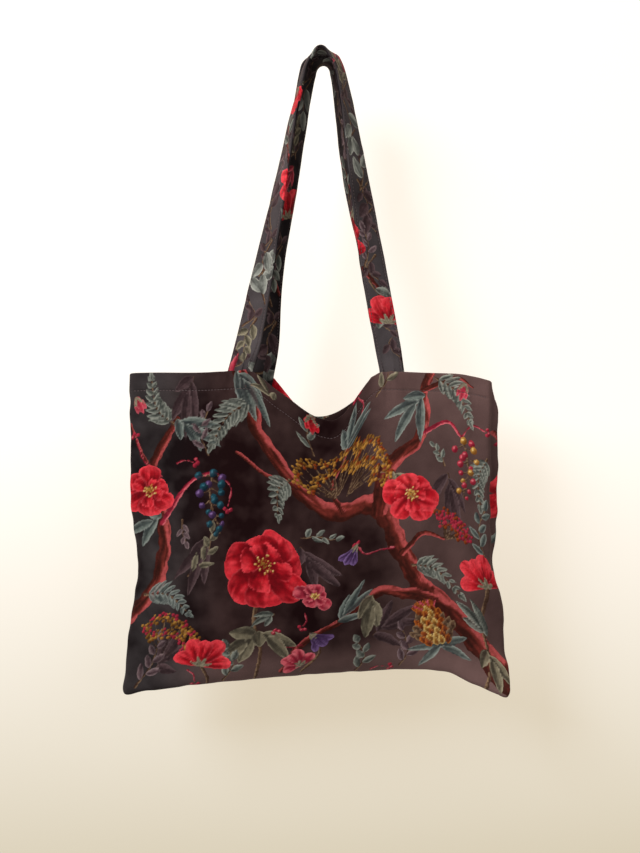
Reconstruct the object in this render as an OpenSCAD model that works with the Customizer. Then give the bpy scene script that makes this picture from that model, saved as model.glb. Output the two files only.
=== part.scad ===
// Velvet shopping bag hanging by its two shoulder straps.
// Two velvet panels are sewn together along the sides and the bottom, each turned in at the mouth
// as a hem, and each carries a long strap sewn behind its hem.
// The origin is under the top of the straps' bend, where they hang. +Z is up, -Y is the front, and
// -1 and +1 stand for the front and the back panel throughout.

/* [Bag] */
// Width between the bottom corners
foot_w = 427; // [380:1:480]
// Width of the mouth between the side seams
mouth_w = 418; // [370:1:460]
// How far each side draws in at half height
waist_in = 15; // [0:1:25]
// Height of the side seams, from bottom corner to mouth
bag_h = 355; // [300:1:420]
// Depth from front to back at the fullest place
bag_d = 96; // [70:1:130]
// Height of the fullest place, as a share of the side seam
full_at = 0.36; // [0.25:0.01:0.5]
// How far the bottom seam rises above the corners
foot_lift = 30; // [0:1:40]
// Where it is highest, as a share of the half width to the right
foot_lift_at = 0.55; // [0:0.05:0.7]
// Radius of each rounded bottom corner
corner_r = 14; // [0.5:0.5:24]
// How far the bunched seams at the left bottom corner stick out as a knob
knob_out = 5; // [0:0.5:8]
// Size of the flat ear at each bottom corner
ear_w = 62; // [30:1:90]
// Share of the fullness that an ear loses
ear_flat = 0.55; // [0:0.05:0.7]
// Depth of the crease that runs from each bottom corner into the bag
ear_crease = 5; // [0:0.5:8]

/* [Cloth] */
// Thickness of the velvet
cloth_t = 1.8; // [1:0.1:2.6]
// Depth of the turned-in hem at the mouth
hem_h = 20; // [14:1:32]
// Room inside the rolled edge along a seam, past two thicknesses of velvet
seam_ease = 1.6; // [1.2:0.1:4]

/* [Mouth] */
// Gap between the two panels at the straps
mouth_d = 42; // [34:1:60]
// How far the front edge dips between its straps
front_dip = 53; // [20:1:70]
// Lowest point of the front edge, from the middle of the mouth
front_dip_x = 11; // [-20:1:30]
// Half width of the front dip to the left of that point
front_dip_left = 95; // [60:1:110]
// Half width of the front dip to the right of that point
front_dip_right = 56; // [45:1:90]
// How far the back edge dips between its straps
back_dip = 50; // [20:1:70]
// Lowest point of the back edge, from the middle of the mouth
back_dip_x = -1; // [-20:1:30]
// Half width of the back dip to the left of that point
back_dip_left = 72; // [55:1:110]
// Half width of the back dip to the right of that point
back_dip_right = 95; // [50:1:110]
// How far the corners of the mouth droop below its middle
mouth_droop = 4; // [0:0.5:12]
// How far its right corner falls further, where the seam has rolled
corner_drop = 7; // [0:0.5:12]
// Width over which that corner falls
corner_drop_w = 40; // [15:1:70]

/* [Folds] */
// How far the slack below each dip falls into the bag
slack_in = 13; // [0:1:18]
// Half width of that slack fold
slack_w = 46; // [25:1:70]
// How far the pull of a strap lifts a ridge below it
ridge_out = 5; // [0:1:10]
// Half width of such a ridge
ridge_w = 24; // [14:1:40]
// How far the right side seam has rolled towards the front
seam_forward = 9; // [0:1:14]
// How far it has moved in from the side
seam_in = 22; // [0:1:28]
// How far the back panel swells out past it
side_swell = 15; // [0:1:22]
// Where the swell is greatest, measured from the seam
swell_at = 7; // [5:1:12]

/* [Straps] */
// Width of a strap
strap_w = 28; // [20:1:36]
// Thickness of a strap, four layers of velvet stitched flat
strap_t = 3.6; // [2.6:0.1:5]
// Height from the mouth to the underside of the bend
strap_drop = 347; // [280:1:440]
// Length of strap end sewn behind the hem
strap_lap = 17; // [10:1:26]
// Left foot of the front strap, from the middle of the mouth
front_foot_left = -88; // [-110:1:-60]
// Right foot of the front strap, from the middle of the mouth
front_foot_right = 78; // [60:1:110]
// Left foot of the back strap, from the middle of the mouth
back_foot_left = -66; // [-110:1:-50]
// Right foot of the back strap, from the middle of the mouth
back_foot_right = 82; // [50:1:110]

/* [Bend] */
// Width inside the bend of the straps
bend_w = 28; // [16:1:50]
// Angle from upright at which the front strap leaves the bend
front_flare = 35; // [0:1:50]
// Angle from upright at which the back strap leaves the bend
back_flare = 15; // [0:1:50]
// Angle by which the bend is turned from the bag's width
rail_turn = 7; // [0:1:20]
// Angle by which the front strap still faces forwards where it leaves the bend
front_face = 17; // [0:1:45]
// Angle by which the back strap still faces backwards where it leaves the bend
back_face = 26; // [0:1:40]
// Share of a leg by which the front strap has turned sideways
front_turn_by = 0.9; // [0.35:0.05:1]
// How early the front strap's left leg turns, less than 1 being sooner
left_turn_soon = 0.65; // [0.5:0.05:1]
// Share of a leg by which the back strap has turned sideways
back_turn_by = 0.4; // [0.35:0.05:1]
// How far a leg of the front strap hangs inwards halfway up
front_sag = 3; // [0:0.5:8]
// How far the slack right leg of the back strap hangs inwards halfway up
slack_sag = 9; // [0:0.5:14]
// Gap between the two straps at the bend
strap_gap = 1.2; // [0.5:0.1:6]

/* [Hidden] */

FRONT = -1;
BACK = 1;
LEFT = -1;
RIGHT = 1;

// Clearance between a strap end and the hem that it is sewn to
seat_gap = 0.5;
// Radius of the roll along a seam, which leaves room for the hem's two layers
edge_r = 2 * cloth_t + seam_ease;
// Levels of the mouth and of the bottom corners below the bend
mouth_z = -strap_drop;
foot_z = mouth_z - bag_h;
// How full the sides are: 0.5 is an ellipse, 1 a lens
side_round = 0.62;
// How sharply the bottom seam falls to its corners
foot_fall = 1.65;
// Height of the waist, and how far it spreads, as shares of the side seam
waist_at = 0.46;
waist_spread = 0.25;
// Share of the height over which the right seam rolls forward, and over which the back panel swells
roll_from = 0.25;
roll_full = 0.9;
swell_full = 0.6;
// Share of the swell that is gone at the mouth
swell_fade = 0.6;
// Share of the half width within which the seam's roll bends the panels
roll_side = 0.12;
// Half width of the knob at the left bottom corner
knob_w = 12;
// Reach and half width of the crease at a bottom corner
crease_reach = 46;
crease_w = 13;
// Heights at which the slack folds and the strap ridges begin
slack_from = 0.3;
ridge_from = 0.45;

// Grid of a panel: columns across, rows up the body and the rows of the seam roll
col_n = 44;
row_n = 17;
roll_n = 3;
// Rows of the hem, as shares of its depth
hem_rows = [0.04, 0.5, 1];
top_row = roll_n + row_n + len(hem_rows);
// Rings along a strap's free leg, its sewn lap and its bend
leg_n = 18;
lap_n = 3;
bend_n = 8;
// Points around each rounded strap edge, less one
strap_edge_n = 4;
// Shares of the leg over which its two ends keep their direction
leg_ease_foot = 0.35;
leg_ease_rail = 0.1;
// Step of the numeric slopes, as a share of a panel's width or height
slope_step = 0.002;

// Helpers

function lerp(a, b, t) = a + (b - a) * t;
function clamp01(t) = min(1, max(0, t));
function smooth(t) = let (c = clamp01(t)) c * c * (3 - 2 * c);
function bell(t) = exp(-t * t);
function unit(p) = p / norm(p);
// A hump that starts at 0, is 1 at t = 1 and fades away
function hump(t) = t <= 0 ? 0 : t * exp(1 - t);
// Height of a quarter circle of radius 1 at the distance t from its start
function quarter(t) = let (c = clamp01(t)) sqrt(c * (2 - c));

// Outline of the hanging bag: u runs from -1 at the left seam to 1 at the right one, and h from 0 at
// the bottom seam to 1 at the mouth

// How much of its forward roll the right seam has at a height
function rolled(h) = smooth((h - roll_from) / (roll_full - roll_from));

function half_w(u, h) =
    lerp(foot_w, mouth_w, h) / 2 - waist_in * bell((h - waist_at) / waist_spread)
    - (u > 0 ? seam_in * rolled(h) : 0);

function seam_z(u) =
    let (t = abs(u - foot_lift_at) / (u < foot_lift_at ? 1 + foot_lift_at : 1 - foot_lift_at))
    foot_z + foot_lift * (1 - pow(t, foot_fall));

// A dip is a raised cosine whose two sides have their own widths
function dip_shape(x, depth, at, left, right) =
    let (t = (x - at) / (x < at ? left : right))
    abs(t) >= 1 ? 0 : depth * (1 + cos(180 * t)) / 2;

function dip_at(side) = side == FRONT ? front_dip_x : back_dip_x;

function mouth_edge_z(side, u) =
    let (
        x = u * half_w(u, 1),
        fall = corner_drop * pow(clamp01(1 - (half_w(u, 1) - x) / corner_drop_w), 2)
    )
    mouth_z - mouth_droop * u * u - fall - (side == FRONT
        ? dip_shape(x, front_dip, front_dip_x, front_dip_left, front_dip_right)
        : dip_shape(x, back_dip, back_dip_x, back_dip_left, back_dip_right));

function column_h(side, u) = mouth_edge_z(side, u) - seam_z(u);

// How far [in from its side seam, up from the bottom seam] a bottom corner moves a point. The square of
// the corner's radius is eased into a quarter disc, and the left corner's knob sticks out from it.
function corner_shift(u, in, up) =
    let (
        p = clamp01(1 - in / corner_r),
        q = clamp01(1 - up / corner_r),
        knob = u < 0 ? knob_out / sqrt(2) * bell(in / knob_w) * bell(up / knob_w) : 0
    )
    corner_r * [p * (1 - sqrt(1 - q * q / 2)), q * (1 - sqrt(1 - p * p / 2))] - [knob, knob];

// Fullness of a panel

function toe(h) = quarter(h / full_at);
function taper(h) = lerp(1, mouth_d / bag_d, smooth((h - full_at) / (1 - full_at)));
function ear(u, h) =
    1 - ear_flat * bell((1 - abs(u)) * foot_w / 2 / ear_w) * bell(h * bag_h / ear_w);

// A crease lies on the diagonal that starts at a bottom corner
function crease(u, h) =
    let (in = (1 - abs(u)) * foot_w / 2, up = h * bag_h)
    ear_crease * hump(norm([in, up]) / crease_reach) * bell((in - up) / crease_w / sqrt(2));

function fullness(u, h) =
    bag_d / 2 * toe(h) * taper(h) * pow(max(0, 1 - u * u), side_round) * ear(u, h) - crease(u, h);

function slack(side, u, h) =
    let (grown = slack_in * smooth((h - slack_from) / (1 - slack_from)))
    grown * bell((u * half_w(u, h) - dip_at(side)) / slack_w);

function foot_x(side, hand) = side == FRONT
    ? (hand == LEFT ? front_foot_left : front_foot_right)
    : (hand == LEFT ? back_foot_left : back_foot_right);

function ridges(side, u, h) =
    let (x = u * half_w(u, h), grown = ridge_out * smooth((h - ridge_from) / (1 - ridge_from)))
    grown * (bell((x - foot_x(side, LEFT)) / ridge_w) + bell((x - foot_x(side, RIGHT)) / ridge_w));

function seam_roll(side, u, h) =
    edge_r * quarter((1 - abs(u)) * half_w(u, h) / edge_r) * quarter(h * column_h(side, u) / edge_r);

function depth(side, u, h) =
    norm([seam_roll(side, u, h), max(0, fullness(u, h) - slack(side, u, h) + ridges(side, u, h))]);

// The back panel's swell beside the right seam, which fades towards the mouth
function swell(u, h) =
    let (
        grown = smooth((h - roll_from) / (swell_full - roll_from)),
        faded = swell_fade * smooth((h - roll_full) / (1 - roll_full))
    )
    side_swell * grown * (1 - faded) * hump((1 - u) * half_w(u, h) / swell_at);

// A point on the outer face of a panel
function skin(side, u, h) =
    let (
        forward = seam_forward * rolled(h) * smooth((u - 1 + roll_side) / roll_side),
        shift = corner_shift(u, (1 - abs(u)) * half_w(u, h), h * column_h(side, u))
    )
    [
        u * half_w(u, h) - sign(u) * shift[0] + (side == BACK ? swell(u, h) : 0),
        side * depth(side, u, h) - forward,
        lerp(seam_z(u), mouth_edge_z(side, u), h) + shift[1]
    ];

// The outward direction there, from the slopes of the face
function skin_normal(side, u, h) =
    let (
        across = skin(side, min(1, u + slope_step), h) - skin(side, max(-1, u - slope_step), h),
        up = skin(side, u, min(1, h + slope_step)) - skin(side, u, max(0, h - slope_step))
    )
    -side * unit(cross(across, up));

// Panels

// Columns lie closer together towards the side seams
function column_u(i) = -cos(180 * i / col_n);

// Rows follow the seam roll first, then the body, and then the hem
function row_h(side, u, j) =
    let (whole = column_h(side, u), body = whole - hem_h)
    (j <= roll_n ? edge_r * (1 - cos(90 * j / roll_n))
        : j <= roll_n + row_n ? lerp(edge_r, body, (j - roll_n) / row_n)
        : body + hem_h * hem_rows[j - roll_n - row_n - 1]) / whole;

function row_t(j) = j > roll_n + row_n ? 2 * cloth_t : cloth_t;

function outer_point(side, i, j) =
    let (u = column_u(i)) skin(side, u, row_h(side, u, j));

// The inner face lies one thickness in, or two at the hem. On a seam it lies straight inwards, so that
// both panels end on the same faces.
function inner_point(side, i, j) =
    let (
        u = column_u(i),
        h = row_h(side, u, j),
        inward = [i == 0 ? 1 : i == col_n ? -1 : 0, 0, j == 0 ? 1 : 0]
    )
    skin(side, u, h) + row_t(j) * (norm(inward) > 0 ? inward : -skin_normal(side, u, h));

// The crest of the fold along the mouth
function crest_point(side, i) =
    (outer_point(side, i, top_row) + inner_point(side, i, top_row)) / 2 + [0, 0, cloth_t / 2];

module panel(side) {
    rows = top_row + 1;
    inner = (col_n + 1) * rows;
    crest = 2 * inner;
    points = concat(
        [for (i = [0:col_n], j = [0:top_row]) outer_point(side, i, j)],
        [for (i = [0:col_n], j = [0:top_row]) inner_point(side, i, j)],
        [for (i = [0:col_n]) crest_point(side, i)]
    );
    function at(i, j) = i * rows + j;
    // Two triangles of a strip, with the same diagonal on both panels
    function pair(a, b, c, d) = [[a, b, c], [a, c, d]];
    quads = concat(
        [for (i = [0:col_n - 1], j = [0:top_row - 1])
            [at(i, j), at(i, j + 1), at(i + 1, j + 1), at(i + 1, j)]],
        [for (i = [0:col_n - 1], j = [0:top_row - 1])
            [inner + at(i, j), inner + at(i + 1, j), inner + at(i + 1, j + 1), inner + at(i, j + 1)]],
        [for (j = [0:top_row - 1])
            [at(0, j), inner + at(0, j), inner + at(0, j + 1), at(0, j + 1)]],
        [for (j = [0:top_row - 1])
            [inner + at(col_n, j), at(col_n, j), at(col_n, j + 1), inner + at(col_n, j + 1)]],
        [for (i = [0:col_n - 1])
            [at(i, 0), at(i + 1, 0), inner + at(i + 1, 0), inner + at(i, 0)]],
        [for (i = [0:col_n - 1])
            [at(i, top_row), crest + i, crest + i + 1, at(i + 1, top_row)]],
        [for (i = [0:col_n - 1])
            [crest + i, inner + at(i, top_row), inner + at(i + 1, top_row), crest + i + 1]]
    );
    ends = [
        [at(0, top_row), inner + at(0, top_row), crest],
        [at(col_n, top_row), crest + col_n, inner + at(col_n, top_row)]
    ];
    faces = concat([for (q = quads) each pair(q[0], q[1], q[2], q[3])], ends);
    polyhedron(points, side == FRONT ? faces : [for (f = faces) [f[2], f[1], f[0]]]);
}

// Straps

// Section of a strap: [across, towards its outer face], a flat bar with round edges
strap_section = [
    for (edge = [RIGHT, LEFT], k = [0:strap_edge_n])
        let (a = -90 * edge + edge * 180 * k / strap_edge_n)
        [edge * ((strap_w - strap_t) / 2 + strap_t / 2 * cos(a)), strap_t / 2 * sin(a)]
];

// A point behind the hem, at a distance from its inner face
function behind_hem(side, x, h, off) =
    let (u = x / half_w(x, 1)) skin(side, u, h) - skin_normal(side, u, h) * (2 * cloth_t + off);

// Which way a strap's own width points at a foot
function width_sign(side, hand) = side * hand;

// The bend
bend_r = bend_w / 2 + strap_t / 2;
crossing = [cos(rail_turn), -sin(rail_turn), 0];
function bend_centre(side) =
    [0, side * (strap_w + strap_gap) / 2 / cos(rail_turn), strap_t / 2 - bend_r];

// Where a leg leaves the mouth, and where it reaches the bend
function leg_foot(side, hand) = behind_hem(side, foot_x(side, hand), 1, seat_gap + strap_t / 2);
function bend_angle(side, hand) =
    let (flare = side == FRONT ? front_flare : back_flare) hand == LEFT ? 180 - flare : flare;
function bend_out(a) = cos(a) * crossing + [0, 0, sin(a)];
function bend_along(a) = sin(a) * crossing - [0, 0, cos(a)];
function leg_top(side, hand) = bend_centre(side) + bend_r * bend_out(bend_angle(side, hand));

function leg_curve(side, hand, t) =
    let (
        a = leg_foot(side, hand),
        d = leg_top(side, hand),
        b = a + (d - a) * leg_ease_foot,
        c = d + hand * bend_along(bend_angle(side, hand)) * norm(d - a) * leg_ease_rail,
        s = 1 - t,
        sag = side == FRONT ? front_sag : hand == RIGHT ? slack_sag : 0
    )
    s * s * s * a + 3 * s * s * t * b + 3 * s * t * t * c + t * t * t * d
    - [hand * sag * pow(sin(180 * t), 2), 0, 0];

// Direction in which the outer face looks, from the panel's at the foot to sideways at the bend, where
// it still looks a little towards its own panel
function leg_face(side, hand, t) =
    let (
        from = side == FRONT ? 270 : 90,
        short = side == FRONT ? front_face : -back_face,
        to = (hand == LEFT ? 180 + short : (side == FRONT ? 360 : 0) - short) - rail_turn,
        share = t / (side == FRONT ? front_turn_by : back_turn_by),
        a = lerp(from, to, smooth(side == FRONT && hand == LEFT ? pow(share, left_turn_soon) : share))
    )
    [cos(a), sin(a), 0];

function ring(centre, along, face) =
    let (n = unit(face - along * (face * along)), w = cross(along, n))
    [for (p = strap_section) centre + p[0] * w + p[1] * n];

function lap_ring(side, hand, k) =
    let (
        column = column_h(side, foot_x(side, hand) / half_w(hand, 1)),
        h = 1 - strap_lap * (1 - k / lap_n) / column
    )
    [for (p = strap_section)
        behind_hem(side, foot_x(side, hand) + width_sign(side, hand) * p[0], h,
            seat_gap + strap_t / 2 - p[1])];

function leg_ring(side, hand, k) =
    let (
        t = k / leg_n,
        e = slope_step,
        rise = unit(leg_curve(side, hand, t + e) - leg_curve(side, hand, t - e))
    )
    ring(leg_curve(side, hand, t), -hand * rise, leg_face(side, hand, t));

// How far a strap has turned about its own line where a leg meets the bend
function bend_twist(side, hand) =
    let (a = bend_angle(side, hand), face = leg_face(side, hand, 1))
    atan2(face * cross(bend_along(a), bend_out(a)), face * bend_out(a));

function bend_ring(side, k) =
    let (
        t = k / bend_n,
        a = lerp(bend_angle(side, LEFT), bend_angle(side, RIGHT), t),
        // The strap lies flat at the top of the bend
        twist = bend_twist(side, t < 0.5 ? LEFT : RIGHT) * smooth(abs(2 * t - 1)),
        face = cos(twist) * bend_out(a) + sin(twist) * cross(bend_along(a), bend_out(a))
    )
    ring(bend_centre(side) + bend_r * bend_out(a), bend_along(a), face);

module strap(side) {
    rings = concat(
        [for (k = [0:lap_n]) lap_ring(side, LEFT, k)],
        [for (k = [1:leg_n - 1]) leg_ring(side, LEFT, k)],
        [for (k = [0:bend_n]) bend_ring(side, k)],
        [for (k = [leg_n - 1:-1:1]) leg_ring(side, RIGHT, k)],
        [for (k = [lap_n:-1:0]) lap_ring(side, RIGHT, k)]
    );
    n = len(strap_section);
    last = (len(rings) - 1) * n;
    sides = [
        for (r = [0:len(rings) - 2], k = [0:n - 1])
            let (a = r * n + k, b = r * n + (k + 1) % n)
            each [[a, b, b + n], [a, b + n, a + n]]
    ];
    caps = [[for (k = [n - 1:-1:0]) k], [for (k = [0:n - 1]) last + k]];
    polyhedron([for (r = rings) each r], concat(sides, caps));
}

module front_panel() { color("#3a2629") panel(FRONT); }
module back_panel() { color("#33232a") panel(BACK); }
module front_strap() { color("#4a3038") strap(FRONT); }
module back_strap() { color("#2c2630") strap(BACK); }

front_panel();
back_panel();
front_strap();
back_strap();
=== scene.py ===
"""Looks of the velvet shopping bag: its two panels, two straps and stitching, hanging from the straps.

The panels and straps follow the formulas of the part's source, with the finer relief of cloth added.
Lengths in the formulas are millimetres, and become metres when a mesh is made.
"""

import math

import bpy
import numpy as np
from mathutils import Matrix, Vector


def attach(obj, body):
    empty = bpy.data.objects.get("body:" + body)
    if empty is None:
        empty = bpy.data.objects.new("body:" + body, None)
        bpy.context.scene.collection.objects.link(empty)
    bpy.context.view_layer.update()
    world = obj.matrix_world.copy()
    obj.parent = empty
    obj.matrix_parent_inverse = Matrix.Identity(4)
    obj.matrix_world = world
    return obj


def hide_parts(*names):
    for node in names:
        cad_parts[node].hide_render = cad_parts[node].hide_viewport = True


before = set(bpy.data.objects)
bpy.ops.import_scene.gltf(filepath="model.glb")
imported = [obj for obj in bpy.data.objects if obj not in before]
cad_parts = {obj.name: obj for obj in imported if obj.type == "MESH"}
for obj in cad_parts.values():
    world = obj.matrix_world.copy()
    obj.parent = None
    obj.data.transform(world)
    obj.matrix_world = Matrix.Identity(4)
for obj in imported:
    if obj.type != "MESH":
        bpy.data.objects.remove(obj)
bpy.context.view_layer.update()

MM = 0.001
FRONT, BACK = -1, 1
LEFT, RIGHT = -1, 1

# Sizes of the bag, the same as in the part's source.
FOOT_W, MOUTH_W, WAIST_IN = 427.0, 418.0, 15.0
BAG_H, BAG_D, FULL_AT = 355.0, 96.0, 0.36
FOOT_LIFT, FOOT_LIFT_AT, FOOT_FALL = 30.0, 0.55, 1.65
EAR_W, EAR_FLAT, EAR_CREASE = 62.0, 0.55, 5.0
CREASE_REACH, CREASE_W = 46.0, 13.0
CLOTH_T, HEM_H, SEAM_EASE = 1.8, 20.0, 1.6
CORNER_R, KNOB_OUT, KNOB_W = 14.0, 5.0, 12.0
MOUTH_D, MOUTH_DROOP = 42.0, 4.0
CORNER_DROP, CORNER_DROP_W = 7.0, 40.0
DIP = {FRONT: (53.0, 11.0, 95.0, 56.0), BACK: (50.0, -1.0, 72.0, 95.0)}  # depth, place, left and right widths
SLACK_IN, SLACK_W, SLACK_FROM = 13.0, 46.0, 0.3
RIDGE_OUT, RIDGE_W, RIDGE_FROM = 5.0, 24.0, 0.45
SEAM_FORWARD, SEAM_IN = 9.0, 22.0
SIDE_SWELL, SWELL_AT, SWELL_FULL, SWELL_FADE = 15.0, 7.0, 0.6, 0.6
ROLL_FROM, ROLL_FULL, ROLL_SIDE = 0.25, 0.9, 0.12
SIDE_ROUND, WAIST_AT, WAIST_SPREAD = 0.62, 0.46, 0.25
STRAP_W, STRAP_T, STRAP_DROP, STRAP_LAP = 28.0, 3.6, 347.0, 17.0
FOOT_X = {(FRONT, LEFT): -88.0, (FRONT, RIGHT): 78.0, (BACK, LEFT): -66.0, (BACK, RIGHT): 82.0}
BEND_W, BEND_TURN, STRAP_GAP = 28.0, math.radians(7.0), 1.2
FLARE = {FRONT: math.radians(35.0), BACK: math.radians(15.0)}
SHORT_TURN = {FRONT: math.radians(17.0), BACK: math.radians(-26.0)}
TURN_BY, LEFT_TURN_SOON = {FRONT: 0.9, BACK: 0.4}, 0.65
SAG = {(FRONT, LEFT): 3.0, (FRONT, RIGHT): 3.0, (BACK, LEFT): 0.0, (BACK, RIGHT): 9.0}
LEG_EASE_FOOT, LEG_EASE_BEND, SEAT_GAP = 0.35, 0.1, 0.5
STRAP_TURN = 6.0  # cloth taken up by the fold at a strap's edge
EDGE_R = 2 * CLOTH_T + SEAM_EASE
MOUTH_Z = -STRAP_DROP
FOOT_Z = MOUTH_Z - BAG_H
BEND_R = BEND_W / 2 + STRAP_T / 2

# How far the two edges of the mouth part beside the left straps, and small sags of one edge or both. Each
# has its depth, its place and its width.
PART, PART_X, PART_W = 3.5, -50.0, 15.0
FRONT_SAG, FRONT_SAG_X, FRONT_SAG_W = 3.3, 38.0, 26.0
EDGE_SAG, EDGE_SAG_X, EDGE_SAG_W = 1.8, -130.0, 38.0
# How the seams stray as the bag hangs: the left one bows out above its waist, the right one is nipped in
# at two heights, and the right corner hangs lower.
LEFT_BOW, LEFT_BOW_AT, LEFT_BOW_W, LEFT_BOW_REACH = 7.0, 0.575, 0.13, 90.0
NIPS, NIP_REACH = ((3.5, 0.43, 0.05), (4.0, 0.165, 0.07)), 45.0
CORNER_HANG, CORNER_HANG_FROM, CORNER_HANG_W, CORNER_HANG_H = 5.0, 0.68, 0.12, 60.0
# How far the back strap's left leg is pulled out near its foot, and where along the leg.
LEG_PULL, LEG_PULL_AT, LEG_PULL_W = 5.0, 0.26, 0.17

# Stitching: how far the hem's line lies from the mouth, and a strap's lines from its edges.
HEM_LINE = 18.0
STRAP_LINE = 2.7
STITCH_PITCH, STITCH_LEN, STITCH_R = 3.6, 3.0, 0.33
STITCH_LIFT, STITCH_SINK = 0.1, 0.45
# The hem's stitch line is pressed in, and the hem swells above it. A strap's lines are pressed in by a share.
HEM_PRESS, HEM_PRESS_W, HEM_SWELL = 0.6, 1.1, 0.35
STRAP_PRESS, STRAP_PRESS_W, STRAP_EDGE_R = 0.32, 0.8, 1.6
# Waves along a strap, with their height, their lengths along and across and their seed, and how far its edges
# stray, as a share of the width. Both settle over a share of the leg at its two ends.
BUCKLES = ((0.6, 31, 40, 41), (0.25, 11, 15, 43))
EDGE_STRAY, EDGE_STRAY_LEN, LEG_SETTLE = 0.012, 23.0, 0.1

# Fine relief of the cloth. Each wave has its height, its lengths across and up, and its seed.
WAVES = ((1.5, 85, 120, 3), (0.6, 37, 55, 5), (0.15, 13, 16, 7))
# Folds that fan out below a strap, and the short gathers at its foot: height, width and fade downwards.
FAN, FAN_W, FAN_OPEN, FAN_FADE = 1.2, 14.0, 0.35, 75.0
GATHER, GATHER_W, GATHER_FADE = 0.6, 17.0, 26.0
# Puckers along the side seams and the bottom seam: height, distance from the seam where highest, and length.
SIDE_PUCKER, SIDE_PUCKER_AT, SIDE_PUCKER_LEN = 0.9, 4.5, 9.0
FOOT_PUCKER, FOOT_PUCKER_AT, FOOT_PUCKER_LEN = 0.8, 5.0, 10.0
# The waves and folds die out this near a seam, and the waves are lower in the hem.
CALM_SEAM, CALM_HEM, CALM_HEM_FROM, CALM_HEM_FADE = 7.0, 0.6, 0.85, 0.15
# How far the side seams, the bottom and the mouth wander, in what lengths or waves in half a width, and
# how far that reaches. The mouth's wander starts at a share of the height.
SEAM_WANDER, SEAM_WANDER_LEN, SEAM_WANDER_REACH = 0.9, 13.0, 20.0
FOOT_WANDER, FOOT_WANDER_WAVES, FOOT_WANDER_REACH = 0.8, 18, 15.0
MOUTH_WANDER, MOUTH_WANDER_WAVES, MOUTH_WANDER_IN, LIP_FROM = 0.6, 5, 30.0, 0.7

# The velvet's own patterns: seven tufts in 5 mm, coarser than real pile so that they show, six blots of dye
# in 25 mm, and the strokes of the nap.
TUFT, DYE_BLOT, NAP_STROKE = 5 / 7, 25 / 6, 25.0

# Points of the grids: round a seam, across and up a panel, and up the finer band at its hem, with its height;
# then along a strap's leg, over the bend and along a lap.
N_EDGE, N_ACROSS, N_UP, N_HEM, HEM_BAND = 7, 280, 205, 40, 28.0
N_LEG, N_BEND, N_LAP = 300, 66, 9


def lerp(a, b, t):
    """The value at a share t of the way from a to b."""
    return a + (b - a) * t


def smooth(t):
    """An S-curve from 0 to 1, flat at both ends: 3 t squared less 2 t cubed."""
    t = np.clip(t, 0, 1)
    return t * t * (3 - 2 * t)


def bell(t):
    """A bell curve, 1 at 0 and fading to both sides: the exponential of minus t squared."""
    return np.exp(-t * t)


def hump(t):
    """Starts at 0, is 1 at t = 1 and fades away: t times the exponential of 1 - t."""
    t = np.maximum(t, 0)
    return t * np.exp(1 - t)


def quarter(t):
    """Height of a quarter circle of radius 1 at the distance t from its start."""
    t = np.clip(t, 0, 1)
    return np.sqrt(t * (2 - t))


def unit(v):
    """Vectors of length 1 with the same directions."""
    return v / np.linalg.norm(v, axis=-1, keepdims=True)


def run(line):
    """The length along a line of points up to each of them."""
    return np.concatenate([[0], np.cumsum(np.linalg.norm(np.diff(line, axis=0), axis=1))])


def polar(x, z, angle, far):
    """A point at some distance from another, in some direction."""
    return x + far * math.cos(angle), z + far * math.sin(angle)


def noise(x, y, seed):
    """Smooth noise from -1 to 1: hashed values on a unit grid, eased between the grid points."""
    x, y = np.broadcast_arrays(np.asarray(x, float), np.asarray(y, float))
    ix, iy = np.floor(x), np.floor(y)
    fx, fy = smooth(x - ix), smooth(y - iy)

    def corner(a, b):
        """The hashed value at a corner of the square: the fraction of a large sine, from -1 to 1."""
        v = np.sin((ix + a) * 127.1 + (iy + b) * 311.7 + seed * 74.7) * 43758.5453
        return 2 * (v - np.floor(v)) - 1

    low = lerp(corner(0, 0), corner(1, 0), fx)
    high = lerp(corner(0, 1), corner(1, 1), fx)
    return lerp(low, high, fy)


# Shape of the hanging cloth. u runs from -1 at the left seam to 1 at the right one, and h from 0 at the
# bottom seam to 1 at the mouth.


def rolled(h):
    """How far the right seam has rolled to the front: an S-curve between two heights."""
    return smooth((h - ROLL_FROM) / (ROLL_FULL - ROLL_FROM))


def half_w(u, h):
    """Half the width: a straight taper from the bottom to the mouth, less a bell at the waist and, on the
    right, the width that the rolled seam takes up."""
    waist = WAIST_IN * bell((h - WAIST_AT) / WAIST_SPREAD)
    return lerp(FOOT_W, MOUTH_W, h) / 2 - waist - np.where(u > 0, SEAM_IN * rolled(h), 0)


def seam_z(u):
    """Height of the bottom seam: highest at one place, falling to both corners by a power of the distance."""
    t = np.abs(u - FOOT_LIFT_AT) / np.where(u < FOOT_LIFT_AT, 1 + FOOT_LIFT_AT, 1 - FOOT_LIFT_AT)
    return FOOT_Z + FOOT_LIFT * (1 - t**FOOT_FALL)


def mouth_edge_z(side, u):
    """Height of the mouth's edge: its level, less a parabola that droops to the sides, a square fall at the
    right corner and a dip, which is one wave of a cosine with its own width on each side."""
    depth, at, left, right = DIP[side]
    x = u * half_w(u, 1.0)
    t = (x - at) / np.where(x < at, left, right)
    dip = np.where(np.abs(t) < 1, depth * (1 + np.cos(np.pi * t)) / 2, 0)
    fall = CORNER_DROP * np.clip(1 - (half_w(u, 1.0) - x) / CORNER_DROP_W, 0, 1) ** 2
    return MOUTH_Z - MOUTH_DROOP * u * u - fall - dip


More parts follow.
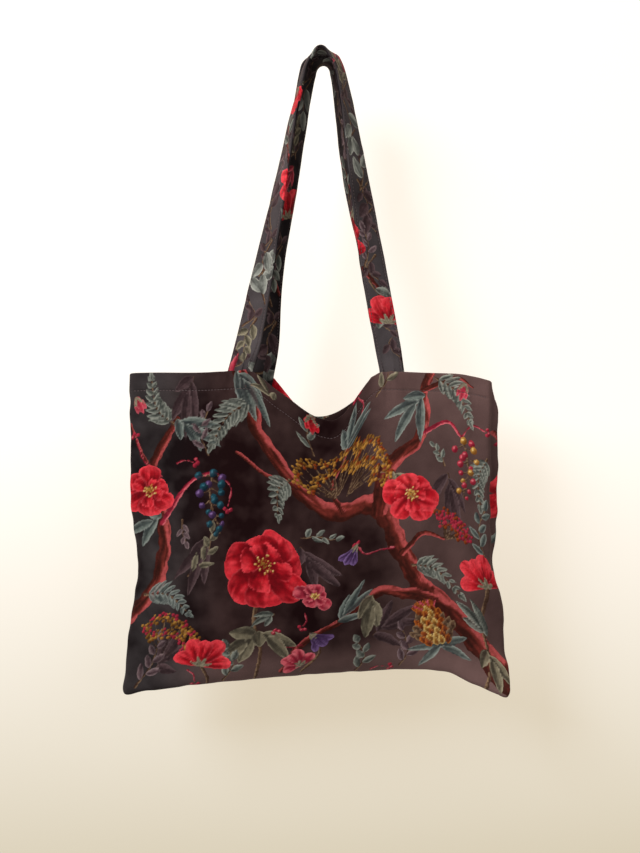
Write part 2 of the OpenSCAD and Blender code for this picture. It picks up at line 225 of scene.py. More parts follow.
def corner_shift(u, in_, up):
    """How far in and up a bottom corner moves a point: a square eased into a quarter disc, less a knob."""
    p, q = np.clip(1 - in_ / CORNER_R, 0, 1), np.clip(1 - up / CORNER_R, 0, 1)
    knob = np.where(u < 0, KNOB_OUT / math.sqrt(2) * bell(in_ / KNOB_W) * bell(up / KNOB_W), 0)
    shift_in = CORNER_R * p * (1 - np.sqrt(1 - q * q / 2)) - knob
    return shift_in, CORNER_R * q * (1 - np.sqrt(1 - p * p / 2)) - knob


def fullness(u, h):
    """How far a panel stands out from the seam plane: a quarter ellipse up from the bottom, an S-curve that
    tapers to the mouth and a power of a parabola across, flatter at the bottom corners by a bell in each,
    less a crease that runs up from each corner."""
    in_, up = (1 - np.abs(u)) * FOOT_W / 2, h * BAG_H
    taper = lerp(1, MOUTH_D / BAG_D, smooth((h - FULL_AT) / (1 - FULL_AT)))
    ear = 1 - EAR_FLAT * bell(in_ / EAR_W) * bell(up / EAR_W)
    crease = EAR_CREASE * hump(np.hypot(in_, up) / CREASE_REACH) * bell((in_ - up) / CREASE_W / math.sqrt(2))
    return BAG_D / 2 * quarter(h / FULL_AT) * taper * np.maximum(0, 1 - u * u) ** SIDE_ROUND * ear - crease


def relief(side, u, h):
    """Fine relief of the cloth: waves of smooth noise, cosine folds that fan out below each strap and fade
    downwards, and puckers of noise that are highest beside the seams."""
    x, z = u * FOOT_W / 2, h * BAG_H
    from_side, below = (1 - np.abs(u)) * FOOT_W / 2, (1 - h) * BAG_H
    soft = sum(high * noise(x / wide, z / tall, seed + side) for high, wide, tall, seed in WAVES)
    fans = 0.0
    for hand in (LEFT, RIGHT):
        dx = x - FOOT_X[side, hand]
        spread = dx / (FAN_W + FAN_OPEN * below)
        fans = fans + FAN * np.cos(spread * 5 + hand) * bell(spread / 1.2) * np.exp(-below / FAN_FADE)
        fans = fans + GATHER * np.cos(dx * 0.8) * bell(dx / GATHER_W) * np.exp(-below / GATHER_FADE)
    pucker = SIDE_PUCKER * noise(z / SIDE_PUCKER_LEN, 0.5 + np.sign(u), 13) * hump(from_side / SIDE_PUCKER_AT)
    pucker = pucker + FOOT_PUCKER * noise(x / FOOT_PUCKER_LEN, 0.5, 17) * hump(z / FOOT_PUCKER_AT)
    kept = quarter(from_side / CALM_SEAM) * quarter(z / CALM_SEAM)
    soft = soft * lerp(1, CALM_HEM, smooth((h - CALM_HEM_FROM) / CALM_HEM_FADE))
    return (soft + fans) * kept + pucker


def skin(side, u, h):
    """A point on a panel's outer face: X and Z run between the seams and the mouth's edge, and Y is the root
    of the squares of the seam's round roll and of the fullness with its folds."""
    u, h = np.broadcast_arrays(np.asarray(u, float), np.asarray(h, float))
    x = u * half_w(u, h)
    top, low = mouth_edge_z(side, u), seam_z(u)
    slack = SLACK_IN * smooth((h - SLACK_FROM) / (1 - SLACK_FROM)) * bell((x - DIP[side][1]) / SLACK_W)
    ridge = RIDGE_OUT * smooth((h - RIDGE_FROM) / (1 - RIDGE_FROM))
    ridge = ridge * sum(bell((x - FOOT_X[side, hand]) / RIDGE_W) for hand in (LEFT, RIGHT))
    from_side = (1 - np.abs(u)) * half_w(u, h)
    roll = EDGE_R * quarter(from_side / EDGE_R) * quarter(h * (top - low) / EDGE_R)
    body = np.maximum(0, fullness(u, h) - slack + ridge + relief(side, u, h))
    forward = SEAM_FORWARD * rolled(h) * smooth((u - 1 + ROLL_SIDE) / ROLL_SIDE)
    if side == BACK:
        grown = smooth((h - ROLL_FROM) / (SWELL_FULL - ROLL_FROM))
        faded = 1 - SWELL_FADE * smooth((h - ROLL_FULL) / (1 - ROLL_FULL))
        x = x + SIDE_SWELL * grown * faded * hump((1 - u) * half_w(u, h) / SWELL_AT)
    shift_in, shift_up = corner_shift(u, from_side, h * (top - low))
    x = x - np.sign(u) * shift_in
    # The seams wander a little, by the same amount on both panels.
    wander = bell(from_side / SEAM_WANDER_REACH) * SEAM_WANDER
    wander = wander * noise(h * BAG_H / SEAM_WANDER_LEN, np.sign(u), 23)
    x = x + wander * np.sign(u) * quarter(h * 8)
    wander = FOOT_WANDER * noise(u * FOOT_WANDER_WAVES, 0.5, 29) * bell(h * BAG_H / FOOT_WANDER_REACH)
    z = lerp(low, top, h) + shift_up + wander
    at_mouth = smooth((h - LIP_FROM) / (1 - LIP_FROM))
    wander = MOUTH_WANDER * noise(u * MOUTH_WANDER_WAVES, 0.5, 31 + side)
    z = z + wander * smooth(from_side / MOUTH_WANDER_IN) * at_mouth
    # The edges of the mouth part beside the left straps: the front one sags and the back one stands up.
    lip = PART * side * bell((x - PART_X) / PART_W) - EDGE_SAG * bell((x - EDGE_SAG_X) / EDGE_SAG_W)
    if side == FRONT:
        lip = lip - FRONT_SAG * bell((x - FRONT_SAG_X) / FRONT_SAG_W)
    z = z + lip * at_mouth
    z = z - CORNER_HANG * smooth((u - CORNER_HANG_FROM) / CORNER_HANG_W) * bell(h * BAG_H / CORNER_HANG_H)
    bow = LEFT_BOW * bell((h - LEFT_BOW_AT) / LEFT_BOW_W) * (1 - smooth(from_side / LEFT_BOW_REACH))
    nips = sum(depth * bell((h - at) / wide) for depth, at, wide in NIPS)
    x = x - np.where(u < 0, bow, nips * (1 - smooth(from_side / NIP_REACH)))
    return np.stack([x, side * np.hypot(roll, body) - forward, z], axis=-1)


def skin_normal(side, u, h, step=0.002):
    """The outward direction of a panel's face: the cross product of its slopes across and up."""
    across = skin(side, np.minimum(1, u + step), h) - skin(side, np.maximum(-1, u - step), h)
    up = skin(side, u, np.minimum(1, h + step)) - skin(side, u, np.maximum(0, h - step))
    return -side * unit(np.cross(across, up))


# Meshes


def mesh_object(name, points, faces):
    """A smooth mesh in the scene, from points in millimetres."""
    mesh = bpy.data.meshes.new(name)
    mesh.from_pydata((points.reshape(-1, 3) * MM).tolist(), [], faces)
    mesh.shade_smooth()
    ob = bpy.data.objects.new(name, mesh)
    bpy.context.scene.collection.objects.link(ob)
    return ob


def loft(name, rings, flip=False):
    """A closed mesh through rings of points: quads between neighbouring rings, and a cap at each end."""
    n_ring, n_point = rings.shape[:2]
    i, j = np.meshgrid(np.arange(n_ring - 1), np.arange(n_point), indexing="ij")
    k = (j + 1) % n_point
    quads = np.stack([i * n_point + j, (i + 1) * n_point + j, (i + 1) * n_point + k, i * n_point + k], -1)
    first = np.arange(n_point)[None]
    last = (n_ring - 1) * n_point + first[:, ::-1]
    order = -1 if flip else 1
    faces = sum((part[:, ::order].tolist() for part in (quads.reshape(-1, 4), first, last)), [])
    return mesh_object(name, rings, faces)


def store(ob, name, values):
    """A colour with four parts at each point, or one number at each point."""
    kind, field = ("FLOAT_COLOR", "color") if np.ndim(values) > 1 else ("FLOAT", "value")
    attr = ob.data.attributes.new(name, kind, "POINT")
    attr.data.foreach_set(field, np.ascontiguousarray(values, np.float32).ravel())


def stitches(name, lines):
    """Stitches along lines of points: each is a short six-sided bar whose ends dip into the cloth."""
    sides = 6
    angle = np.arange(sides) * np.pi / 3
    along = np.array([-0.5, -0.3, 0.3, 0.5]) * STITCH_LEN
    fat = np.array([0.35, 1, 1, 0.35]) * STITCH_R
    sink = np.array([-1, 0, 0, -1]) * STITCH_SINK
    across = (fat[:, None] * np.cos(angle))[None, ..., None]
    height = (fat[:, None] * np.sin(angle) + sink[:, None])[None, ..., None]
    one = sides * len(along)
    verts, faces, start = [], [], 0
    for line, out in lines:
        s = run(line)
        mid = np.arange(STITCH_PITCH, s[-1] - STITCH_PITCH / 2, STITCH_PITCH)

        def between(values, where):
            """Values at lengths along the line, on straight stretches between its points."""
            return np.stack([np.interp(where, s, values[:, k]) for k in range(3)], -1)

        at = between(line, mid)
        t = unit(between(line, mid + 0.5) - at)
        n = between(out, mid)
        n = unit(n - t * (n * t).sum(-1, keepdims=True))
        at, t, n, b = (v[:, None, None] for v in (at, t, n, np.cross(t, n)))
        verts.append((at + along[None, :, None, None] * t + across * b + height * n).reshape(-1, 3))
        m, r, k = np.meshgrid(np.arange(len(mid)), np.arange(len(along) - 1), np.arange(sides), indexing="ij")
        low, nxt = start + m * one + r * sides, (k + 1) % sides
        quads = np.stack([low + k, low + nxt, low + sides + nxt, low + sides + k], -1)
        faces += quads.reshape(-1, 4)[:, ::-1].tolist()
        ends = start + np.arange(len(mid))[:, None] * one + np.arange(sides)
        faces += ends.tolist() + (ends[:, ::-1] + one - sides).tolist()
        start += one * len(mid)
    return mesh_object(name, np.concatenate(verts), faces)


def panel(name, side):
    """One panel: its outer face from bottom seam to mouth, round the fold of the hem, and its inner face back
    down, one thickness of velvet in, or two at the hem. The rows of a column form a closed ring."""
    edge = EDGE_R * (1 - np.cos(np.linspace(0, np.pi / 2, N_EDGE)))[:-1]
    half = FOOT_W / 2
    between = np.linspace(-1 + EDGE_R / half, 1 - EDGE_R / half, N_ACROSS)
    u = np.concatenate([-1 + edge / half, between, 1 - edge[::-1] / half])[:, None]
    whole = mouth_edge_z(side, u) - seam_z(u)
    body = np.linspace(0, 1, N_UP)[None]
    band = np.linspace(0, 1, N_HEM)[1:][None]
    rows = np.concatenate(
        [
            np.repeat(edge[None], len(u), 0),
            EDGE_R + (whole - HEM_BAND - EDGE_R) * body,
            whole - HEM_BAND + HEM_BAND * band,
        ],
        axis=1,
    )
    h = rows / whole
    below = whole - rows
    outer = skin(side, u, h)
    n = -side * unit(np.cross(np.gradient(outer, axis=0), np.gradient(outer, axis=1)))
    # The hem's stitch line is pulled in, and the hem swells a little above it.
    press = -HEM_PRESS * bell((below - HEM_LINE) / HEM_PRESS_W)
    press = press + HEM_SWELL * np.sin(np.pi * np.clip(below / HEM_LINE, 0, 1))
    away = smooth((1 - np.abs(u)) * half / 8)
    thick = CLOTH_T * (1 + smooth((HEM_H - below) / 0.8))
    inner = outer - n * thick[..., None]
    outer = outer + n * (press * away)[..., None]
    inner[:, 0] = outer[:, 0] + thick[:, :1] * [0, 0, 1]
    inner[0] = outer[0] + thick[0][:, None] * [1, 0, 0]
    inner[-1] = outer[-1] + thick[-1][:, None] * [-1, 0, 0]
    inner[0, 0] += [0, 0, CLOTH_T]
    inner[-1, 0] += [0, 0, CLOTH_T]
    half_vec = (outer[:, -1] - inner[:, -1]) / 2
    rise = unit(outer[:, -1] - outer[:, -2]) * np.linalg.norm(half_vec, axis=-1, keepdims=True)
    turn = np.radians([30, 60, 90, 120, 150])[None, :, None]
    fold = (inner[:, -1] + half_vec)[:, None]
    fold = fold + half_vec[:, None] * np.cos(turn) + rise[:, None] * np.sin(turn)
    # The inner face has fewer rows, closer together at the hem.
    hem, last = len(edge) + N_UP - 3, rows.shape[1] - 1
    back = np.unique(np.concatenate([np.arange(0, hem, 6), np.arange(hem, last, 3), [1, 3, last]]))[::-1]
    ring = np.concatenate([outer, fold, inner[:, back]], axis=1)
    ob = loft(name, ring, flip=side == BACK)
    # Where each point lies on the flat cloth. The hem runs on past the mouth and down the inside.
    flat_x = np.repeat(u * half, ring.shape[1], 1)
    turned = np.where(below[:, back] < HEM_H, BAG_H + below[:, back], h[:, back] * BAG_H)
    flat_z = np.concatenate([h * BAG_H, np.full(fold.shape[:2], BAG_H), turned], axis=1)
    woven = smooth((below[:, back] - HEM_H) / 1.5)
    reverse = np.concatenate([0 * h, np.zeros(fold.shape[:2]), woven], axis=1)
    line = int(np.argmin(np.abs(below[len(u) // 2] - HEM_LINE)))
    inside = slice(5, -5)
    seam = [(outer[inside, line] + STITCH_LIFT * n[inside, line], n[inside, line])]
    return ob, flat_x.ravel(), flat_z.ravel(), reverse.ravel(), seam


def behind_hem(side, x, h, off):
    """Points behind the hem: the outer face's, moved in along its normals by two layers and a distance."""
    u = x / half_w(x, 1.0)
    return skin(side, u, h) - skin_normal(side, u, h) * (2 * CLOTH_T + np.asarray(off)[..., None])


def strap(name, side):
    """One strap: a flat bar swept from its lap behind the left of the hem, up the left leg, over the bend and
    down to the right lap. Its face turns from the panel's direction to that of the bend on the way up."""
    crossing = np.array([math.cos(BEND_TURN), -math.sin(BEND_TURN), 0])
    up = np.array([0, 0, 1.0])
    centre = np.array([0, side * (STRAP_W + STRAP_GAP) / 2 / math.cos(BEND_TURN), STRAP_T / 2 - BEND_R])
    rim = STRAP_W / 2 - np.array([0, 0.15, 0.5, 1.1, 1.7, 2.2, 2.7, 3.2])
    across = np.sort(np.concatenate([np.linspace(-0.5, 0.5, 19) * (STRAP_W - 7), -rim, rim]))
    from_edge = STRAP_W / 2 - np.abs(across)
    press = STRAP_PRESS * bell((from_edge - STRAP_LINE) / STRAP_PRESS_W)
    thick = STRAP_T / 2 * quarter(from_edge / STRAP_EDGE_R) * (1 - press)
    sec_w = np.concatenate([across, across[-2:0:-1]])
    sec_n = np.concatenate([-thick, thick[-2:0:-1]])

    def bend(a):
        """Points around the bend, with the directions along it and out of it."""
        out = np.cos(a) * crossing + np.sin(a) * up
        return centre + BEND_R * out, np.sin(a) * crossing - np.cos(a) * up, out

    def leg(hand):
        """A leg's line is a cubic Bezier curve from its foot to the bend, less a sag that is a squared sine.
        Its face turns by an S-curve from the panel's direction to that of the bend."""
        angle = math.pi - FLARE[side] if hand == LEFT else FLARE[side]
        a = behind_hem(side, np.array([FOOT_X[side, hand]]), 1.0, np.array([SEAT_GAP + STRAP_T / 2]))[0]
        d, along, out = bend(angle)
        long = np.linalg.norm(d - a)
        b, c = a + (d - a) * LEG_EASE_FOOT, d + hand * along * long * LEG_EASE_BEND
        t = np.linspace(0, 1, N_LEG)[:, None]
        s = 1 - t
        at = s**3 * a + 3 * s * s * t * b + 3 * s * t * t * c + t**3 * d
        at[:, 0] -= hand * SAG[side, hand] * np.sin(np.pi * t[:, 0]) ** 2
        if (side, hand) == (BACK, LEFT):
            at[:, 0] -= LEG_PULL * bell((t[:, 0] - LEG_PULL_AT) / LEG_PULL_W) * smooth(t[:, 0] / LEG_SETTLE)
        way = -hand * unit(np.gradient(at, axis=0))
        way[-1] = along
        start = 1.5 * math.pi if side == FRONT else 0.5 * math.pi
        goal = math.pi + SHORT_TURN[side]
        if hand == RIGHT:
            goal = (2 * math.pi if side == FRONT else 0) - SHORT_TURN[side]
        share = t / TURN_BY[side]
        if (side, hand) == (FRONT, LEFT):
            share = share**LEFT_TURN_SOON
        turn = lerp(start, goal - BEND_TURN, smooth(share))
        face = np.concatenate([np.cos(turn), np.sin(turn), 0 * turn], axis=1)
        twist = math.atan2(face[-1] @ np.cross(along, out), face[-1] @ out)
        face = unit(face - way * (face * way).sum(-1, keepdims=True))
        return angle, twist, at, way, face, t[:, 0]

    def lap(hand, n):
        """Rings of a sewn end: the strap's section laid behind the hem, from its end up to the mouth."""
        foot = FOOT_X[side, hand]
        u = foot / half_w(hand, 1.0)
        h = 1 - STRAP_LAP * np.linspace(1, 0, n)[:, None] / (mouth_edge_z(side, u) - seam_z(u))
        x = np.repeat(foot + side * hand * sec_w[None], n, 0)
        return behind_hem(side, x, np.repeat(h, x.shape[1], 1), SEAT_GAP + STRAP_T / 2 - sec_n + 0 * h)

    def buckle(s):
        """Waves along the strap: the whole width bows a little, and the edges wander."""
        s = s[:, None]
        bow = sum(high * noise(s / along, sec_w / wide, seed + side) for high, along, wide, seed in BUCKLES)
        return bow, sec_w * EDGE_STRAY * noise(s / EDGE_STRAY_LEN, np.sign(sec_w), 47 + side)

    legs, ends = [], []
    for hand in (LEFT, RIGHT):
        angle, twist, at, way, face, t = leg(hand)
        w = np.cross(way, face)
        s = run(at)
        bow, edge = buckle(s + 900 * (hand == RIGHT))
        loose = smooth(t / LEG_SETTLE)[:, None]
        free = loose * smooth((1 - t) / LEG_SETTLE)[:, None]
        wide, high = sec_w + edge * free, sec_n + bow * free
        shape = w[:, None] * wide[..., None] + face[:, None] * high[..., None]
        sewn = lap(hand, N_LAP)
        shape = lerp((sewn[-1] - at[0])[None], shape, loose[..., None])
        legs.append(np.concatenate([sewn[:-1], at[:, None] + shape]))
        ends.append((angle, twist))
    # The strap lies flat at the top of the bend.
    t = np.linspace(0, 1, N_BEND)[1:-1, None]
    at, way, out = bend(lerp(ends[0][0], ends[1][0], t))
    twist = np.where(t < 0.5, ends[0][1], ends[1][1]) * smooth(np.abs(2 * t - 1))
    face = np.cos(twist) * out + np.sin(twist) * np.cross(way, out)
    w = np.cross(way, face)
    over = at[:, None] + w[:, None] * sec_w[:, None] + face[:, None] * sec_n[:, None]
    ring = np.concatenate([legs[0], over, legs[1][::-1]])
    ob = loft(name, ring)
    mid = ring.mean(1)
    s = run(mid)
    n = len(across)
    out = unit(ring[:, n + n // 2 - 1] - ring[:, n // 2])
    lines = []
    for target in (STRAP_LINE, STRAP_W - STRAP_LINE):
        k = int(np.argmin(np.abs(across + STRAP_W / 2 - target)))
        for col, away in ((k, -out), (2 * (n - 1) - k, out)):
            line = ring[:, col] + STITCH_LIFT * away
            lines.append((line[N_LAP:-N_LAP], away[N_LAP:-N_LAP]))
    flat_s = np.repeat(s[:, None], ring.shape[1], 1).ravel()
    flat_w = np.where(np.arange(ring.shape[1]) < n, sec_w, STRAP_W + STRAP_TURN - sec_w)
    return ob, flat_s, np.tile(flat_w, len(ring)), lines, float(s[-1])


# Print: a generic botanical design on the flat cloth, in fields of colour with painted edges.


def linear(code):
    """Red, green, blue and 1 in linear light from an sRGB hex code."""
    c = np.array([int(code[k : k + 2], 16) / 255 for k in (1, 3, 5)])
    return (*np.where(c <= 0.04045, c / 12.92, ((c + 0.055) / 1.055) ** 2.4), 1.0)


def tones(inks):
    """The red, green and blue of each tone of an ink."""
    return [np.array(linear(code)[:3]) for code in inks]


# Inks: the shaded tone, the body tone and the light tone of a painted edge.
LEAF = ("#323736", "#6e7672", "#abb1aa")
SAGE = ("#3a3730", "#716c5c", "#a8a28d")
SLATE = ("#2f373a", "#65716f", "#a0aaa8")
MAUVE = ("#37292f", "#67555c", "#96858b")
SILVER = ("#474b4a", "#858b88", "#bcc0bb")
DUSK = ("#2c2024", "#4b3b40", "#6a595e")
SCARLET = ("#6c0612", "#cd1829", "#f15562")
ROSE = ("#6d1428", "#b23148", "#e07a86")
BARK = ("#33140f", "#762e28", "#bd575a")
EMBER = ("#4e1f0d", "#8c3f18", "#c4742f")
OCHRE = ("#6b4218", "#b98a40", "#ecd38c")
AMBER = ("#4a2a0e", "#86602a", "#b08a48")
PLUM = ("#281a36", "#533a6a", "#8a70ac")
TEAL = ("#0a1f2c", "#194859", "#3a7285")
TWIG = ("#38261f", "#66503f", "#90785f")

BRANCH_LAYER, LEAF_LAYER, BLOOM_LAYER = 0, 1, 2
INK_LAYERS = ("ink_branch", "ink_leaf", "ink_bloom")
FAR = 30.0  # the distance where nothing is near

# Half width of a leaf or petal from its base to its tip, 1 at the widest place.
FORMS = {
    "lance": lambda t: 2.74 * t**0.6 * (1 - t) ** 0.9,
    "oval": lambda t: np.sin(np.pi * t**0.85) ** 0.75,
    "petal": lambda t: 1.39 * t**0.8 * np.sqrt(1 - t**6),
    "tepal": lambda t: 2.23 * t**0.9 * (1 - t) ** 0.4,
    "spike": lambda t: (1 - t) ** 0.6,
}


class Print:
    """Ink on flat cloth. Each point keeps, for three layers, the colour and the signed distance in mm of the
    nearest shape, negative inside it."""

    def __init__(self, x, z):
        self.x, self.z = x, z
        # Painted edges waver by this much.
        self.wobble = 0.25 * noise(x / 4, z / 4, 57) + 0.4 * noise(x / 9, z / 9, 58)
        self.sd = [np.full(len(x), FAR) for _ in INK_LAYERS]
        self.ink = [np.zeros((len(x), 3)) for _ in INK_LAYERS]

    def near(self, x0, x1, z0, z1, margin=5):
        """The numbers of the points in a box with a margin round it."""
        inside = (self.x > x0 - margin) & (self.x < x1 + margin)
        inside &= (self.z > z0 - margin) & (self.z < z1 + margin)
        return np.nonzero(inside)[0]

    def lay(self, layer, at, sd, ink):
        """A new shape over the last ones: inside it, its ink holds, and outside, that of the nearer shape."""
        old = self.sd[layer][at]
        take = (sd < 0) | ((old > 0) & (sd < old))
        self.sd[layer][at[take]] = sd[take]
        self.ink[layer][at[take]] = ink[take]

    def bare(self, x, z, room):
        """Whether nothing is painted within some distance of a point that lies on the cloth."""
        at = self.near(x, x, z, z, 2)
        return len(at) > 0 and min(sd[at].min() for sd in self.sd) > room


def blade(
    p, layer, x, z, turn, long, wide, inks, form="lance", bow=0.0, vein=0.0, base=0.3, rim=0.6, tip=0.0
):
    """A leaf or petal from its base: the distance from a bowed midline, less the half width that its form
    gives there. Streaks run along it, its base is shaded and its edge is lighter. With a vein, one half is
    lighter than the other; a petal gets lighter towards its tip."""
    c, s = math.cos(turn), math.sin(turn)
    ex, ez = polar(x, z, turn, long)
    pad = wide / 2 + abs(bow) * long
    at = p.near(min(x, ex) - pad, max(x, ex) + pad, min(z, ez) - pad, max(z, ez) + pad)
    if not len(at):
        return
    dx, dz = p.x[at] - x, p.z[at] - z
    a, b = dx * c + dz * s, dz * c - dx * s
    b = b - bow * long * (a / long) ** 2
    t = np.clip(a / long, 1e-4, 1)
    half = np.maximum(wide / 2 * FORMS[form](t), 0.05)
    sd = np.where((a > 0) & (a < long), np.abs(b) - half, np.hypot(b, np.maximum(-a, a - long)))
    sd = sd + p.wobble[at] * (1 + 2 * tip * t)
    dark, body, light = tones(inks)
    seed = x * 0.37 + z * 0.11
    v = np.clip(b / half, -1, 1)
    streak = 0.5 * noise(v * 2.5 + seed, a / 9, 51) + 0.35 * noise(v * 6 + seed, a / 17, 53)
    halves = 0.3 * vein * np.clip(b, -1, 1)
    tone = smooth(0.66 + 0.5 * streak + 0.16 * v + halves - base * (1 - t) ** 2)
    ink = lerp(dark, body, tone[:, None])
    ink = lerp(ink, light, (rim * smooth((sd + 2.2) / 2.0) * smooth(0.7 + streak + halves))[:, None])
    ink = lerp(ink, light, (tip * smooth(1.5 * t - 0.75 + 0.9 * streak))[:, None])
    ink = lerp(ink, dark, (vein * bell(b / 0.7))[:, None])
    p.lay(layer, at, sd, ink)


def leaf(p, *shape, **looks):
    """A blade in the layer of leaves."""
    blade(p, LEAF_LAYER, *shape, **looks)


def petal(p, *shape, **looks):
    """A blade in the layer of blooms."""
    blade(p, BLOOM_LAYER, *shape, **looks)


def curve(points, n):
    """A smooth line through points: Catmull-Rom."""
    q = np.asarray(points, float)
    q = np.concatenate([[2 * q[0] - q[1]], q, [2 * q[-1] - q[-2]]])
    t = np.linspace(0, len(q) - 3, n)
    k = np.minimum(t.astype(int), len(q) - 4)
    f = (t - k)[:, None]
    a, b, c, d = q[k], q[k + 1], q[k + 2], q[k + 3]
    return 0.5 * (2 * b + (c - a) * f + (2 * a - 5 * b + 4 * c - d) * f**2 + (3 * b - a - 3 * c + d) * f**3)


def stroke(p, points, fat, thin, inks, rough=0.0):
    """A branch or stalk: the distance to a smooth line, less a half width that shrinks along it and swells at
    knots. One side is lit and the other shaded, with streaks along the bark."""
    line = curve(points, 9 * len(points))
    dark, body, light = tones(inks)
    lo, hi = line.min(0), line.max(0)
    at = p.near(lo[0], hi[0], lo[1], hi[1], margin=fat + 6)
    if not len(at):
        return
    x, z = p.x[at], p.z[at]
    sd = np.full(len(at), FAR)
    side, far = np.zeros(len(at)), np.zeros(len(at))
    length = run(line)
    for k in range(len(line) - 1):
        a, d = line[k], line[k + 1] - line[k]
        f = np.clip(((x - a[0]) * d[0] + (z - a[1]) * d[1]) / (d @ d), 0, 1)
        ex, ez = x - a[0] - f * d[0], z - a[1] - f * d[1]
        way = length[k] + f * (length[k + 1] - length[k])
        across = (ex * d[1] - ez * d[0]) / np.sqrt(d @ d)
        knots = noise(way / 19, np.sign(across), 59 + fat) + 0.6 * noise(way / 7, np.sign(across), 65 + fat)
        half = lerp(fat, thin, way / length[-1]) * (1 + rough * knots)
        gap = np.hypot(ex, ez) - half
        closer = gap < sd
        sd = np.where(closer, gap, sd)
        side = np.where(closer, across / half, side)
        far = np.where(closer, way, far)
    sd = sd + p.wobble[at] * min(1, fat / 3)
    streak = 0.6 * noise(side * 2.2, far / 16, 61) + 0.4 * noise(side * 5, far / 9, 63)
    ink = lerp(dark, body, smooth(0.5 + 0.5 * side + 0.8 * streak)[:, None])
    ink = lerp(ink, light, (0.7 * smooth((side - 0.3 + 0.9 * streak) / 0.5))[:, None])
    p.lay(BRANCH_LAYER, at, sd, ink)


def dot(p, x, z, r, inks):
    """A round spot, lighter at its upper left."""
    at = p.near(x - r, x + r, z - r, z + r, margin=4)
    if not len(at):
        return
    dx, dz = p.x[at] - x, p.z[at] - z
    dark, body, _ = tones(inks)
    tone = smooth(0.5 + 0.5 * (dz - dx) / max(r, 0.1))
    p.lay(BLOOM_LAYER, at, np.hypot(dx, dz) - r, lerp(dark, body, tone[:, None]))


def berry(p, x, z, r, inks):
    """A round berry with a light spot."""
    dot(p, x, z, r, inks)
    dot(p, x - 0.32 * r, z + 0.32 * r, 0.3 * r, (inks[2], inks[2], inks[2]))


def flower(p, x, z, r, turn, inks, petals=6, squash=1.0, aslant=0.0):
    """An open flower: a whorl of wide petals, a smaller one between them, and stamens. Seen aslant, it is
    shorter by squash in one direction, and its near petals are longer than its far ones."""
    for count, size, shift, form in ((petals, 1.0, 0.0, "tepal"), (petals - 2, 0.62, 0.4, "petal")):
        for k in range(count):
            a = turn + 2 * math.pi * (k + shift) / count + 0.2 * math.sin(5 * k + x)
            q = math.cos(a - aslant) * (1 - squash)
            vx, vz = math.cos(a) - q * math.cos(aslant), math.sin(a) - q * math.sin(aslant)
            near = 1 + 0.14 * math.sin(3 * k + z) - 0.2 * math.cos(a - aslant)
            long = r * size * math.hypot(vx, vz) * near
            wide = r * size * (0.84 + 0.1 * math.sin(4 * k + x))
            bow = 0.14 * math.sin(2 * k + x)
            petal(p, x, z, math.atan2(vz, vx), long, wide, inks, form, bow, base=1.1, tip=0.5)
    dot(p, x, z, r * 0.13, (inks[0], inks[0], inks[0]))
    for k in range(13):
        a, far = 2.4 * k, r * (0.14 + 0.12 * (k % 3) / 2)
        petal(p, x, z, a, far, 1.4, OCHRE, "spike", rim=0.0)
        dot(p, x + far * math.cos(a), z + far * math.sin(a) * squash, 1.1, (OCHRE[1], OCHRE[2], OCHRE[2]))


def cup(p, x, z, size, turn, inks):
    """A flower seen from its side, with its calyx: side petals that bend outwards round upright ones."""
    for off, long, wide, bow in (
        (-1.05, 0.92, 0.5, -0.2),
        (1.1, 0.86, 0.5, 0.24),
        (-0.42, 1.02, 0.56, -0.06),
        (0.5, 0.94, 0.56, 0.08),
        (0.06, 0.84, 0.52, 0.0),
    ):
        form = "petal" if abs(off) < 0.2 else "tepal"
        petal(p, x, z, turn + off, size * long, size * wide, inks, form, bow, base=0.9, tip=0.55)
    for off in (-1.2, -0.4, 0.5, 1.3):
        petal(p, x, z, turn + off, size * 0.34, size * 0.12, SAGE)


def bud(p, x, z, long, turn, inks):
    """A closed flower: three petals that overlap, and two small leaves at their base."""
    for off in (-0.3, 0.3, 0.0):
        size = long * (1 - abs(off) * 0.4)
        petal(p, x, z, turn + off, size, long * 0.34, inks, "oval", base=0.6)
    for off in (-0.5, 0.5):
        petal(p, x, z, turn + off, long * 0.6, long * 0.16, SAGE)


def bellflower(p, x, z, size, turn, inks):
    """A nodding bell from its stalk: narrow at the base, with lobes that flare at its mouth."""
    for off, long, wide, bow in (
        (-0.36, 1.0, 0.4, -0.2),
        (0.38, 0.98, 0.4, 0.2),
        (0.0, 0.92, 0.5, 0.0),
    ):
        petal(p, x, z, turn + off, size * long, size * wide, inks, "petal", bow, base=0.9, tip=0.5)
    for off in (-0.7, 0.0, 0.7):
        petal(p, x, z, turn + off, size * 0.32, size * 0.13, SAGE)


def cone(p, x, z, size, turn):
    """A scaly seed head: rows of scales that overlap like tiles, lighter in the middle, with a crown of
    leaves below and a tuft above."""
    c, s = math.cos(turn), math.sin(turn)
    for k in range(7):
        f = (k - 3) / 3
        root = polar(x, z, turn, -0.1 * size)
        leaf(p, *root, turn + 2.1 * f, size * 0.8, size * 0.2, SLATE, vein=0.7)
    for k in range(11):
        f = (k - 5) / 5
        tint = EMBER if k % 3 else ROSE
        petal(p, *polar(x, z, turn, 0.7 * size), turn + 0.75 * f, size * 0.5, size * 0.11, tint)
    for row in range(7, -1, -1):
        up = size * (0.115 * row - 0.08)
        count = (4, 5, 6, 7, 6, 5, 4, 3)[row]
        for k in range(count):
            f = (k - (count - 1) / 2) / 3
            side = size * 0.41 * f + size * 0.02 * math.sin(9 * k + 4 * row)
            bx, bz = x + c * up - s * side, z + s * up + c * side
            tint = (OCHRE, EMBER, TWIG)[min(2, int(abs(f) * 2.2 + 0.5 * math.sin(5 * k + 3 * row) + 0.5))]
            lean = turn + 0.7 * f + 0.1 * math.sin(6 * k + row)
            petal(p, bx, bz, lean, size * 0.26, size * 0.17, tint, "oval", base=1.3, rim=0.9)


